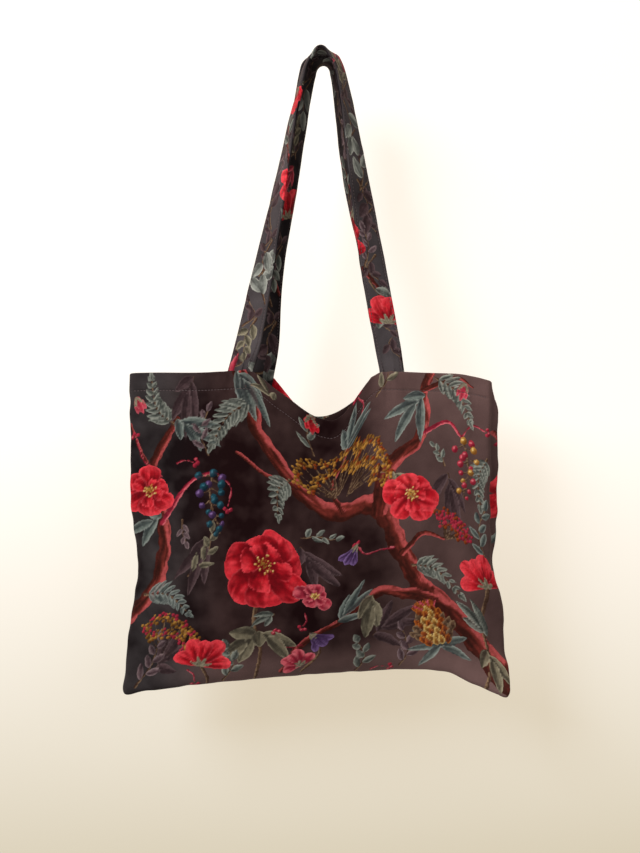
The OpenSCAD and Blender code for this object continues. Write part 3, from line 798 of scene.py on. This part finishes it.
def berries(p, points, wide, n, r, inks):
    """A hanging spray of berries on short stems, narrower and smaller towards its tip."""
    stroke(p, points, 1.2, 0.8, TWIG)
    line = curve(points, n + 1)
    for k in range(n):
        f = (k + 0.5) / n
        d = unit(line[k + 1] - line[k])
        side = wide / 2 * (1 - 0.6 * f) * math.sin(2.4 * k)
        bx, bz = line[k] + 0.125 * wide * d + side * np.array([-d[1], d[0]])
        stroke(p, [line[k], (line[k] + (bx, bz)) / 2 + 0.8 * d, (bx, bz)], 0.8, 0.7, TWIG)
        berry(p, bx, bz, r * (1.1 - 0.35 * f + 0.1 * math.sin(3 * k)), inks[k % len(inks)])


def fan(p, x, z, turn, n, spread, long, wide, inks):
    """Slender leaves of unequal lengths that leave a short twig by turns on its two sides, and droop."""
    c, s = math.cos(turn), math.sin(turn)
    reach = 0.3 * long
    kink = x + 0.6 * reach * c - s, z + 0.6 * reach * s + c
    stroke(p, [(x, z), kink, polar(x, z, turn, reach)], 1.2, 0.8, TWIG)
    for k in range(n):
        f = k / (n - 1)
        hand = 1 if k % 2 else -1
        a = turn + hand * spread / 2 * (1 - 0.8 * f) * (1 + 0.3 * math.sin(5 * k + z))
        size = long * (0.78 + 0.3 * math.sin(2.7 * k + x) * (1 - f) + 0.2 * f)
        bow = -0.2 * math.cos(a) + 0.07 * math.sin(3 * k + x)
        leaf(p, x + f * reach * c, z + f * reach * s, a, size, wide, inks, bow=bow, vein=0.8)


def sprig(p, points, n, long, wide, inks):
    """A thin stalk with leaves by turns on its two sides and one at its tip."""
    stroke(p, points, 1.2, 0.9, TWIG)
    line = curve(points, n + 2)
    for k in range(1, n + 1):
        d = line[k + 1] - line[k - 1]
        hand = 1 if k % 2 else -1
        a = math.atan2(d[1], d[0]) + 0.8 * hand
        leaf(p, *line[k], a, long * (1.15 - 0.45 * k / n), wide, inks, "oval", -0.12 * hand, 0.7)
    d = line[-1] - line[-2]
    leaf(p, *line[-1], math.atan2(d[1], d[0]), long * 0.8, wide, inks, "oval", vein=0.7)


def umbel(p, x, z, turn, long, spread, n, inks):
    """A domed flower head: stalks that spread from one point in two tiers, each with a knot of florets."""
    for tier, count in ((1.0, n), (0.66, n - 3)):
        for k in range(count):
            f = (k + 0.5) / count - 0.5
            a = turn + spread * f
            far = long * tier * (1 - 0.5 * f * f + 0.06 * math.sin(5 * k + x))
            end = polar(x, z, a, far)
            stroke(p, [(x, z), polar(x, z, a - 0.12 * f, far * 0.5), end], 0.9, 0.7, TWIG)
            for m in range(9):
                floret = polar(*end, 2.4 * m + k, 2.3 * math.sqrt(m))
                dot(p, *floret, 1.9 + 0.4 * math.sin(3 * m + k), inks[(3 * k + m) % len(inks)])


def frond(p, points, n, long, wide, inks):
    """A fern leaf: pairs of narrow leaflets along a rib, shorter towards its tip."""
    stroke(p, points, 1.3, 0.7, TWIG)
    line = curve(points, n + 3)
    for k in range(1, n + 2):
        d = line[k + 1] - line[k - 1]
        size = long * (1.1 - k / (n + 2)) ** 0.8 * min(1, 0.6 + 0.2 * k)
        for hand in (-1, 1):
            a = math.atan2(d[1], d[0]) + 0.92 * hand
            leaf(p, *line[k], a, size, wide, inks, bow=-0.16 * hand, vein=0.6)
    d = line[-1] - line[-2]
    leaf(p, *line[-2], math.atan2(d[1], d[0]), long * 0.5, wide, inks, vein=0.6)


def tendril(p, points, inks):
    """A thin stem with three small berries on its end."""
    stroke(p, points, 1.0, 0.8, inks)
    (ax, az), (bx, bz) = points[-2:]
    a = math.atan2(bz - az, bx - ax)
    for off, far in ((-0.9, 4.4), (0.0, 5.4), (0.9, 4.4)):
        berry(p, *polar(bx, bz, a + off, far), 2.3, inks)


def fill_gaps(p, width, height, room, tries, seed):
    """Small sprigs, leaves and stems of berries where the cloth is bare, on points that form no rows."""
    for k in range(tries):
        x = ((k * 0.7549 + seed * 0.31) % 1 - 0.5) * width
        z = (k * 0.5698 + seed * 0.17) % 1 * height
        if not p.bare(x, z, room):
            continue
        a = 2.4 * k
        c, s = math.cos(a), math.sin(a)
        inks = (LEAF, SAGE, MAUVE, SLATE)[k % 4]
        if k % 5 == 0:
            tendril(p, [(x - 9 * c, z - 9 * s), (x - 3 * s, z + 3 * c), (x + 9 * c, z + 9 * s)], ROSE)
        elif k % 5 == 1:
            fan(p, x, z, a, 3, 1.6, 22, 7, inks)
        else:
            stalk = [(x - 12 * c, z - 12 * s), (x + 2 * s, z - 2 * c), (x + 12 * c, z + 12 * s)]
            sprig(p, stalk, 4, 12, 5, inks)


def garden(p, flip):
    """The design on a panel, from the middle of its bottom seam. flip is 1, or -1 for its mirror image."""

    def ang(a):
        """An angle, mirrored with the design."""
        return a if flip > 0 else math.pi - a

    def way(points):
        """Points, mirrored with the design."""
        return [(flip * x, z) for x, z in points]

    trunk = [(218, 14), (172, 58), (128, 92), (98, 146), (74, 196)]
    trunk += [(30, 222), (-26, 250), (-66, 286), (-78, 330), (-104, 386)]
    for points, fat, thin, inks in [
        (trunk, 15, 7, BARK),
        ([(74, 196), (84, 240), (126, 284), (130, 336), (154, 390)], 9, 5, BARK),
        ([(128, 92), (70, 102), (26, 82), (-14, 54), (-40, 12)], 6.5, 2.4, BARK),
        ([(-220, 84), (-186, 124), (-178, 190), (-188, 246), (-158, 304)], 10, 3.6, BARK),
        ([(-178, 190), (-146, 232), (-118, 244)], 2.8, 1.5, ROSE),
        ([(126, 284), (158, 300), (176, 284)], 2.6, 1.4, ROSE),
        ([(30, 222), (16, 262), (36, 300)], 3.4, 1.6, BARK),
        ([(98, 146), (124, 168), (152, 164)], 4.0, 1.4, BARK),
        ([(-26, 250), (-60, 244), (-92, 264)], 3.8, 1.4, BARK),
        ([(130, 336), (168, 352), (190, 344)], 3.2, 1.3, BARK),
        ([(-188, 246), (-202, 272), (-212, 300)], 3.4, 1.4, BARK),
        ([(-62, 120), (-70, 78), (-62, 40), (-70, -4)], 2.4, 1.8, TWIG),
        ([(196, 116), (184, 76), (192, 34), (184, -4)], 2.2, 1.7, TWIG),
        ([(-128, 28), (-120, 10), (-124, -6)], 1.9, 1.5, TWIG),
        ([(-8, 66), (2, 40), (-18, 10)], 1.7, 1.3, TWIG),
    ]:
        stroke(p, way(points), fat, thin, inks, 0.3 if inks is BARK else 0.1)

    for x, z, a, n, spread, long, wide, inks in [
        (-140, 352, 4.4, 4, 1.3, 56, 12, DUSK),
        (-20, 176, 5.4, 4, 1.5, 52, 13, DUSK),
        (158, 240, 4.9, 4, 1.4, 54, 12, DUSK),
        (-128, 168, 4.2, 4, 1.4, 50, 12, DUSK),
        (60, 52, 0.6, 4, 1.4, 50, 12, DUSK),
        (-178, 26, 0.9, 4, 1.4, 46, 12, DUSK),
        (-92, 356, 5.4, 4, 1.2, 50, 12, SLATE),
        (130, 330, 3.9, 4, 1.5, 54, 12, SLATE),
        (88, 240, 5.6, 3, 1.1, 40, 11, SAGE),
        (-158, 304, 5.7, 4, 1.2, 46, 11, SLATE),
        (-66, 58, 3.7, 3, 1.4, 40, 17, SAGE),
        (-64, 64, 5.7, 3, 1.3, 38, 16, SAGE),
        (22, 82, 0.9, 4, 1.4, 40, 10, SLATE),
        (60, 100, 4.6, 3, 1.4, 40, 16, SAGE),
        (190, 62, 2.4, 3, 1.3, 38, 11, LEAF),
        (188, 46, 5.2, 3, 1.3, 36, 12, SAGE),
        (32, 300, 1.2, 4, 1.5, 40, 10, SLATE),
        (-178, 196, 3.5, 3, 1.3, 38, 11, SLATE),
    ]:
        fan(p, flip * x, z, ang(a), n, spread, long, wide, inks)

    for points, n, long, wide, inks in [
        ([(-74, 322), (-102, 304), (-122, 268)], 9, 27, 5.5, LEAF),
        ([(-32, 254), (-46, 232), (-46, 196)], 7, 22, 5.2, LEAF),
        ([(142, 352), (172, 334), (190, 298)], 8, 24, 5.5, LEAF),
        ([(-162, 298), (-182, 318), (-188, 356)], 8, 22, 5.2, LEAF),
        ([(108, 132), (136, 126), (166, 96)], 8, 22, 5.2, LEAF),
        ([(208, 268), (198, 244), (200, 204)], 8, 20, 5.0, LEAF),
        ([(-200, 112), (-170, 110), (-140, 84)], 8, 22, 5.2, SLATE),
    ]:
        frond(p, way(points), n, long, wide, inks)

    for points, n, long, wide, inks in [
        ([(-200, 8), (-184, 30), (-176, 58)], 6, 19, 8, MAUVE),
        ([(-104, 4), (-92, 24), (-98, 44)], 5, 17, 8, LEAF),
        ([(40, 4), (50, 24), (44, 46)], 5, 17, 8, LEAF),
        ([(88, 8), (98, 30), (92, 54)], 5, 17, 8, MAUVE),
        ([(206, 150), (196, 178), (204, 208)], 6, 18, 7, SLATE),
        ([(-150, 130), (-130, 150), (-124, 176)], 6, 18, 7, SAGE),
        ([(-20, 188), (-2, 196), (20, 192)], 5, 15, 6, LEAF),
        ([(-124, 262), (-132, 288), (-124, 312)], 5, 16, 6, MAUVE),
        ([(70, 330), (84, 352), (76, 384)], 4, 18, 7, SAGE),
        ([(-6, 302), (-14, 330), (-2, 362)], 5, 18, 7, LEAF),
    ]:
        sprig(p, way(points), n, long, wide, inks)

    for points in (
        [(-176, 240), (-196, 258), (-206, 284)],
        [(-118, 244), (-100, 226), (-104, 204)],
        [(34, 300), (54, 330), (48, 352)],
        [(176, 284), (190, 300), (206, 298)],
        [(-18, 50), (-36, 46), (-44, 62)],
        [(88, 152), (58, 150), (46, 166)],
    ):
        tendril(p, way(points), ROSE)

    gold = (OCHRE, AMBER, OCHRE, EMBER, AMBER)
    umbel(p, flip * 22, 246, ang(1.9), 54, 2.3, 9, gold)
    umbel(p, flip * 34, 240, ang(0.5), 50, 1.7, 8, gold)
    umbel(p, flip * -174, 40, ang(1.1), 44, 2.2, 8, (OCHRE, ROSE, AMBER))
    umbel(p, flip * 152, 164, ang(1.0), 30, 1.9, 6, (ROSE, EMBER, ROSE))

    berries(p, way([(-118, 246), (-124, 214), (-114, 176)]), 34, 19, 4.4, (TEAL, PLUM, TEAL))
    berries(p, way([(178, 284), (184, 252), (178, 216)]), 30, 17, 3.9, (OCHRE, ROSE, ROSE))

    cone(p, flip * 132, 40, 46, ang(1.9))
    bellflower(p, flip * -8, 66, 26, ang(5.5), PLUM)
    bellflower(p, flip * 46, 168, 22, ang(3.9), PLUM)
    flower(p, flip * -62, 142, 50, 0.3, SCARLET, 7, 0.82, ang(1.9))
    flower(p, flip * 112, 214, 33, 0.9, SCARLET, 6, 0.85, ang(1.2))
    flower(p, flip * -190, 226, 29, 0.5, SCARLET, 6, 0.9, ang(0.4))
    flower(p, flip * -4, 118, 20, 0.1, ROSE, 6, 0.8, ang(1.0))
    cup(p, flip * 196, 118, 38, ang(1.9), SCARLET)
    cup(p, flip * -128, 26, 36, ang(1.3), SCARLET)
    cup(p, flip * -18, 20, 24, ang(2.2), ROSE)
    if flip < 0:
        cup(p, -46, 384, 44, 4.7, SCARLET)
    bud(p, flip * -10, 356, 26, ang(4.8), SCARLET)
    bud(p, flip * 182, 348, 24, ang(4.4), ROSE)
    bud(p, flip * -206, 330, 22, ang(5.2), ROSE)
    fill_gaps(p, FOOT_W - 10, BAG_H + HEM_H, 12, 160, 1 + flip)


def ribbon_garden(p, long, seed):
    """The design on a strap: x runs along it, and z across its inner face and on over the outer one."""
    big = 2, 27, 12
    sprigs = {1: (*big, SILVER), 2: (5, 14, 6, MAUVE), 4: (*big, SILVER), 5: (3, 20, 9, LEAF)}
    sprigs |= {6: (5, 16, 8, SAGE), 7: (*big, DUSK)}
    for row, z0 in enumerate((0.0, STRAP_W + STRAP_TURN)):
        for k in range(int(long // 46) + 1):
            x = 46 * k + 10 * math.sin(2.1 * k + seed + 3 * row) + 14
            z = z0 + 5 * math.sin(1.7 * k + seed)
            hand = -1 if k % 2 else 1
            kind = (k * 3 + seed + 2 * row) % 8
            stalk = [(x - 20 * hand, z - 6), (x, z + 2), (x + 18 * hand, z - 1)]
            sprig(p, [(x + 10, z + 8), (x + 23, z - 3), (x + 37, z + 7)], 3, 15, 7, DUSK)
            turn = 0.3 * hand + (math.pi if k % 2 else 0)
            if kind == 0:
                cup(p, x, z, 34, turn, SCARLET)
            elif kind == 3:
                fan(p, x, z, turn, 3, 1.7, 26, 7, ROSE)
            elif kind == 5:
                stroke(p, [(x - 34, z - 12), (x - 8, z + 3), (x + 30, z + 9)], 2.2, 1.1, BARK, 0.25)
            if kind in sprigs:
                sprig(p, stalk, *sprigs[kind])


# Materials


def add(tree, kind, inputs=None, **settings):
    """A shader node with its settings, as its outputs. Each input is a constant, or another node's output
    to link."""
    node = tree.nodes.new("ShaderNode" + kind)
    for key, value in settings.items():
        setattr(node, key, value)
    for key, value in (inputs or {}).items():
        if isinstance(value, bpy.types.NodeSocket):
            tree.links.new(value, node.inputs[key])
        else:
            node.inputs[key].default_value = value
    return node.outputs


BLEND = {"data_type": "RGBA"}
MULTIPLY = {"data_type": "RGBA", "blend_type": "MULTIPLY"}


def bare_material(name):
    """A material with an empty node tree."""
    mat = bpy.data.materials.new(name)
    mat.use_nodes = True
    mat.node_tree.nodes.clear()
    return mat, mat.node_tree


def velvet(name, deep, painted_lit_tone):
    """Printed cotton velvet: a dark aubergine ground with ink in three layers over it. Painted light and
    shade, stored at each point with streaks of nap, mix the ground from its dark tone to a painted lit tone,
    and a painted cool sheen greys it on the left. The ink's edges are soft where the dye has bled, and slopes
    that turn away have a soft sheen."""
    mat, tree = bare_material(name)
    where = add(tree, "TexCoord")["Object"]
    pile, dye, strokes = (
        add(tree, "TexNoise", {"Vector": where, "Scale": 1 / (size * MM), "Detail": 2.0})["Fac"]
        for size in (TUFT, DYE_BLOT, NAP_STROKE)
    )
    nap_and_painted_light, painted_cool_sheen, reverse = (
        add(tree, "Attribute", attribute_name=stored)["Fac"] for stored in ("nap_and_painted_light", "painted_cool_sheen", "reverse")
    )
    # How far the dye bleeds in mm, how strong the ink is by its blots and by the painted light and shade, how
    # far a stroke turns the nap, how light each tuft is, and how much of the woven reverse shows.
    limits = "From Min", "From Max", "To Min", "To Max"
    bleed, patchy, painted_light_on_ink, turned, tufts, woven = (
        add(tree, "MapRange", {"Value": value, **dict(zip(limits, span))})["Result"]
        for value, span in (
            (dye, (0.25, 0.75, -0.7, 0.7)),
            (dye, (0.3, 0.7, 0.75, 1.2)),
            (nap_and_painted_light, (0.0, 1.0, 0.72, 1.5)),
            (strokes, (0.3, 0.7, -0.06, 0.06)),
            (pile, (0.0, 1.0, 0.72, 1.28)),
            (reverse, (0.0, 1.0, 0.0, 0.8)),
        )
    )
    # The blots of dye, and painted light and shade, which dim or brighten the ink.
    blots_and_painted_light = add(tree, "Mix", {"Factor": 1.0, "A": patchy, "B": painted_light_on_ink}, **MULTIPLY)["Result"]
    # Painted sheen of a cool light: towards the left, the ground's brown turns grey.
    ends = {"Factor": painted_cool_sheen, "A": linear(deep), "B": linear("#110e11")}
    shade = add(tree, "Mix", ends, **BLEND)["Result"]
    ends = {"Factor": painted_cool_sheen, "A": linear(painted_lit_tone), "B": linear("#74757b")}
    lit = add(tree, "Mix", ends, **BLEND)["Result"]
    # Painted light and shade, with strokes of nap: how far the ground goes from its dark tone to its painted
    # lit tone.
    lean = add(tree, "Math", {0: nap_and_painted_light, 1: turned}, operation="ADD")["Value"]
    lean = add(tree, "MapRange", {"Value": lean})["Result"]
    colour = add(tree, "Mix", {"Factor": lean, "A": shade, "B": lit}, **BLEND)["Result"]
    for layer in INK_LAYERS:
        ink = add(tree, "Attribute", attribute_name=layer)
        edge = add(tree, "Math", {0: ink["Alpha"], 1: bleed}, operation="ADD")["Value"]
        soft = {"Value": edge, "From Min": 0.45, "From Max": -0.45, "To Max": 0.94}
        cover = add(tree, "MapRange", soft, interpolation_type="SMOOTHSTEP")["Result"]
        dyed = add(tree, "Mix", {"Factor": 1.0, "A": ink["Color"], "B": blots_and_painted_light}, **MULTIPLY)["Result"]
        colour = add(tree, "Mix", {"Factor": cover, "A": colour, "B": dyed}, **BLEND)["Result"]
    colour = add(tree, "Mix", {"Factor": 1.0, "A": colour, "B": tufts}, **MULTIPLY)["Result"]
    # The reverse of the cloth is woven, and the print shows there only dimly.
    colour = add(tree, "Mix", {"Factor": woven, "A": colour, "B": linear("#2a2125")}, **BLEND)["Result"]
    bump = add(tree, "Bump", {"Height": pile, "Strength": 0.25, "Distance": 0.0004})["Normal"]
    looks = {
        "Base Color": colour,
        "Normal": bump,
        "Roughness": 0.9,
        "Specular IOR Level": 0.05,
        "Sheen Weight": 0.18,
        "Sheen Roughness": 0.35,
        "Sheen Tint": linear("#b8a4a8"),
    }
    add(tree, "OutputMaterial", {"Surface": add(tree, "BsdfPrincipled", looks)["BSDF"]})
    return mat


def thread(name):
    """Sewing thread: dark and slightly glossy, so that the stitches glint against the nap."""
    mat = bpy.data.materials.new(name)
    mat.use_nodes = True
    cloth = mat.node_tree.nodes["Principled BSDF"].inputs
    cloth["Base Color"].default_value = linear("#493c41")
    cloth["Roughness"].default_value = 0.55
    return mat


def wall_paint(name):
    """Cream-white painted wall: pale to the eye and dimmer lower down. Its glow is warm and what it
    reflects is cool, so that the bag's soft shadow looks cream."""
    mat, tree = bare_material(name)
    paint = add(tree, "BsdfDiffuse", {"Color": linear("#f6f1e8")})["BSDF"]
    tint = add(tree, "BsdfDiffuse", {"Color": linear("#8996a6")})["BSDF"]
    where = add(tree, "TexCoord")["Object"]
    height = add(tree, "SeparateXYZ", {"Vector": where})["Z"]
    bright = add(tree, "MapRange", {"Value": height, "From Min": -0.95, "From Max": -0.4})["Result"]
    ends = {"Factor": bright, "A": linear("#b5a174"), "B": linear("#f0e3d1")}
    shade = add(tree, "Mix", ends, **BLEND)["Result"]
    glow = add(tree, "Emission", {"Color": shade, "Strength": 1.0})["Emission"]
    seen = add(tree, "AddShader", {0: tint, 1: glow})["Shader"]
    to_eye = add(tree, "LightPath")["Is Camera Ray"]
    shown = add(tree, "MixShader", {"Fac": to_eye, 1: paint, 2: seen})["Shader"]
    # From behind, the wall is clear and shows the bag's back.
    behind = add(tree, "NewGeometry")["Backfacing"]
    clear = add(tree, "BsdfTransparent")["BSDF"]
    either = add(tree, "MixShader", {"Fac": behind, 1: shown, 2: clear})["Shader"]
    add(tree, "OutputMaterial", {"Surface": either})
    return mat


# Build

# Each velvet's dark ground and its painted lit tone.
panel_velvet = velvet("printed cotton velvet", "#150709", "#7d6464")
strap_velvet = velvet("printed cotton velvet, folded", "#141015", "#7a6a70")
sewing = thread("dark sewing thread")


def finish_piece(ob, mat, node=None):
    """Gives a piece its material and its body, and hides the node of the part that it stands for."""
    ob.data.materials.append(mat)
    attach(ob, "root")
    if node:
        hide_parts(node)


def panel_painted_light(side, x, z):
    """Painted light and shade of a panel's velvet, from 0 to 1. Seen square on, the pile is dark, and painted
    shade leaves it darkest below the dip. Painted sheen makes it lighter at the hem, along the bottom, on the
    right and in a soft band, and streaks of nap run through it."""
    streaks = 0.04 * noise(x / 24, z / 120, 71 + side) + 0.06 * noise(x / 60, z / 80, 73 + side)
    hem = smooth((z - 270) / 80) * smooth(np.abs(x - 10) / 110) * lerp(0.1, 0.16, smooth((x + 80) / 90))
    right = 0.3 * smooth((x - 30) / 110)
    band = 0.08 * bell((x - 92 - 0.12 * (250 - z)) / 13) * smooth((z - 120) / 60)
    bottom = 0.43 * smooth((60 - z) / 50) * lerp(0.3, 1.0, smooth((x + 190) / 80))
    return 0.03 + streaks + hem + right + band + bottom


def strap_painted_light(side, s, w):
    """Painted light and shade of a strap's velvet: painted shade makes its inner face dark, and its outer one
    is lighter, with light and dark patches of nap.
    """
    patches = 0.1 * noise(s / 40, w / 30, 75 + side) + 0.08 * noise(s / 90, 0.5, 77 + side)
    return np.maximum(0.02, 0.05 + 0.19 * smooth((w - STRAP_W / 2) / STRAP_T) + patches)


def apply_print(ob, p, reverse, nap_and_painted_light, painted_cool_sheen):
    """What the velvet reads at each point: each layer's ink, with its distance as alpha, and three shares."""
    for name, sd, ink in zip(INK_LAYERS, p.sd, p.ink):
        store(ob, name, np.concatenate([ink, sd[:, None]], axis=1))
    store(ob, "reverse", reverse)
    store(ob, "nap_and_painted_light", nap_and_painted_light)
    store(ob, "painted_cool_sheen", painted_cool_sheen)


for side, word in ((FRONT, "front"), (BACK, "back")):
    ob, x, z, reverse, seam = panel(f"{word}_panel_velvet", side)
    p = Print(x, z)
    garden(p, 1 if side == FRONT else -1)
    # The panel's painted light and shade, and a painted cool sheen towards its left.
    apply_print(ob, p, reverse, panel_painted_light(side, x, z), 0.8 * smooth((-95 - x) / 100))
    finish_piece(ob, panel_velvet, f"{word}_panel")
    hem = stitches(f"{word}_hem_stitches", seam)
    finish_piece(hem, sewing)

    ob, s, w, lines, long = strap(f"{word}_strap_velvet", side)
    p = Print(s, w)
    ribbon_garden(p, long, 1 if side == FRONT else 4)
    # The strap's painted light and shade, and its ground turned grey all over by the same mix as the painted
    # cool sheen.
    apply_print(ob, p, np.zeros(len(s)), strap_painted_light(side, s, w), np.full(len(s), 0.6))
    finish_piece(ob, strap_velvet, f"{word}_strap")
    topstitch = stitches(f"{word}_strap_stitches", lines)
    finish_piece(topstitch, sewing)

# Stage: a pale wall behind the bag, in metres.
WALL_W, WALL_H, WALL_Y = 8, 6, 0.11
corners = [(x * WALL_W / 2, WALL_Y, z * WALL_H / 2) for x, z in ((-1, -1), (1, -1), (1, 1), (-1, 1))]
mesh = bpy.data.meshes.new("wall")
mesh.from_pydata(corners, [], [(0, 1, 2, 3)])
wall = bpy.data.objects.new("wall", mesh)
bpy.context.scene.collection.objects.link(wall)
mesh.materials.append(wall_paint("cream wall paint"))

world = bpy.data.worlds.new("room light")
world.use_nodes = True
sky = world.node_tree.nodes["Background"]
sky.inputs["Color"].default_value = linear("#fbf4ea")
# A soft level on the bag, and a pale background to the camera.
to_camera = add(world.node_tree, "LightPath")["Is Camera Ray"]
glow = add(world.node_tree, "MapRange", {"Value": to_camera, "To Min": 0.38, "To Max": 0.95})
world.node_tree.links.new(glow["Result"], sky.inputs["Strength"])
bpy.context.scene.world = world


def area_light(name, place, aim, size, watts, tint):
    """A round lamp at a place, turned to what it shines at."""
    light = bpy.data.lights.new(name, "AREA")
    light.shape = "DISK"
    light.size, light.energy, light.color = size, watts, linear(tint)[:3]
    ob = bpy.data.objects.new(name, light)
    ob.location = place
    ob.rotation_euler = (Vector(aim) - Vector(place)).to_track_quat("-Z", "Y").to_euler()
    bpy.context.scene.collection.objects.link(ob)


area_light("window", (-1.3, -1.5, 0.7), (0, 0, -0.45), 1.1, 52, "#fff6ec")
area_light("room", (1.4, -1.9, 0.2), (0, 0, -0.4), 1.6, 14, "#fff2e2")

# Camera: level with the mouth, a little over a metre away, and turned slightly as in the photo.
LENS, CAMERA_AT, CAMERA_ROLL = 42.2, (0.0007, -1.1, -0.4062), math.radians(0.4)
camera = bpy.data.objects.new("camera", bpy.data.cameras.new("camera"))
camera.data.lens = LENS
place = Matrix.Translation(CAMERA_AT)
level, roll = Matrix.Rotation(math.pi / 2, 4, "X"), Matrix.Rotation(CAMERA_ROLL, 4, "Z")
camera.matrix_world = place @ level @ roll
bpy.context.scene.collection.objects.link(camera)
bpy.context.scene.camera = camera
bpy.context.scene.view_settings.view_transform = "Standard"
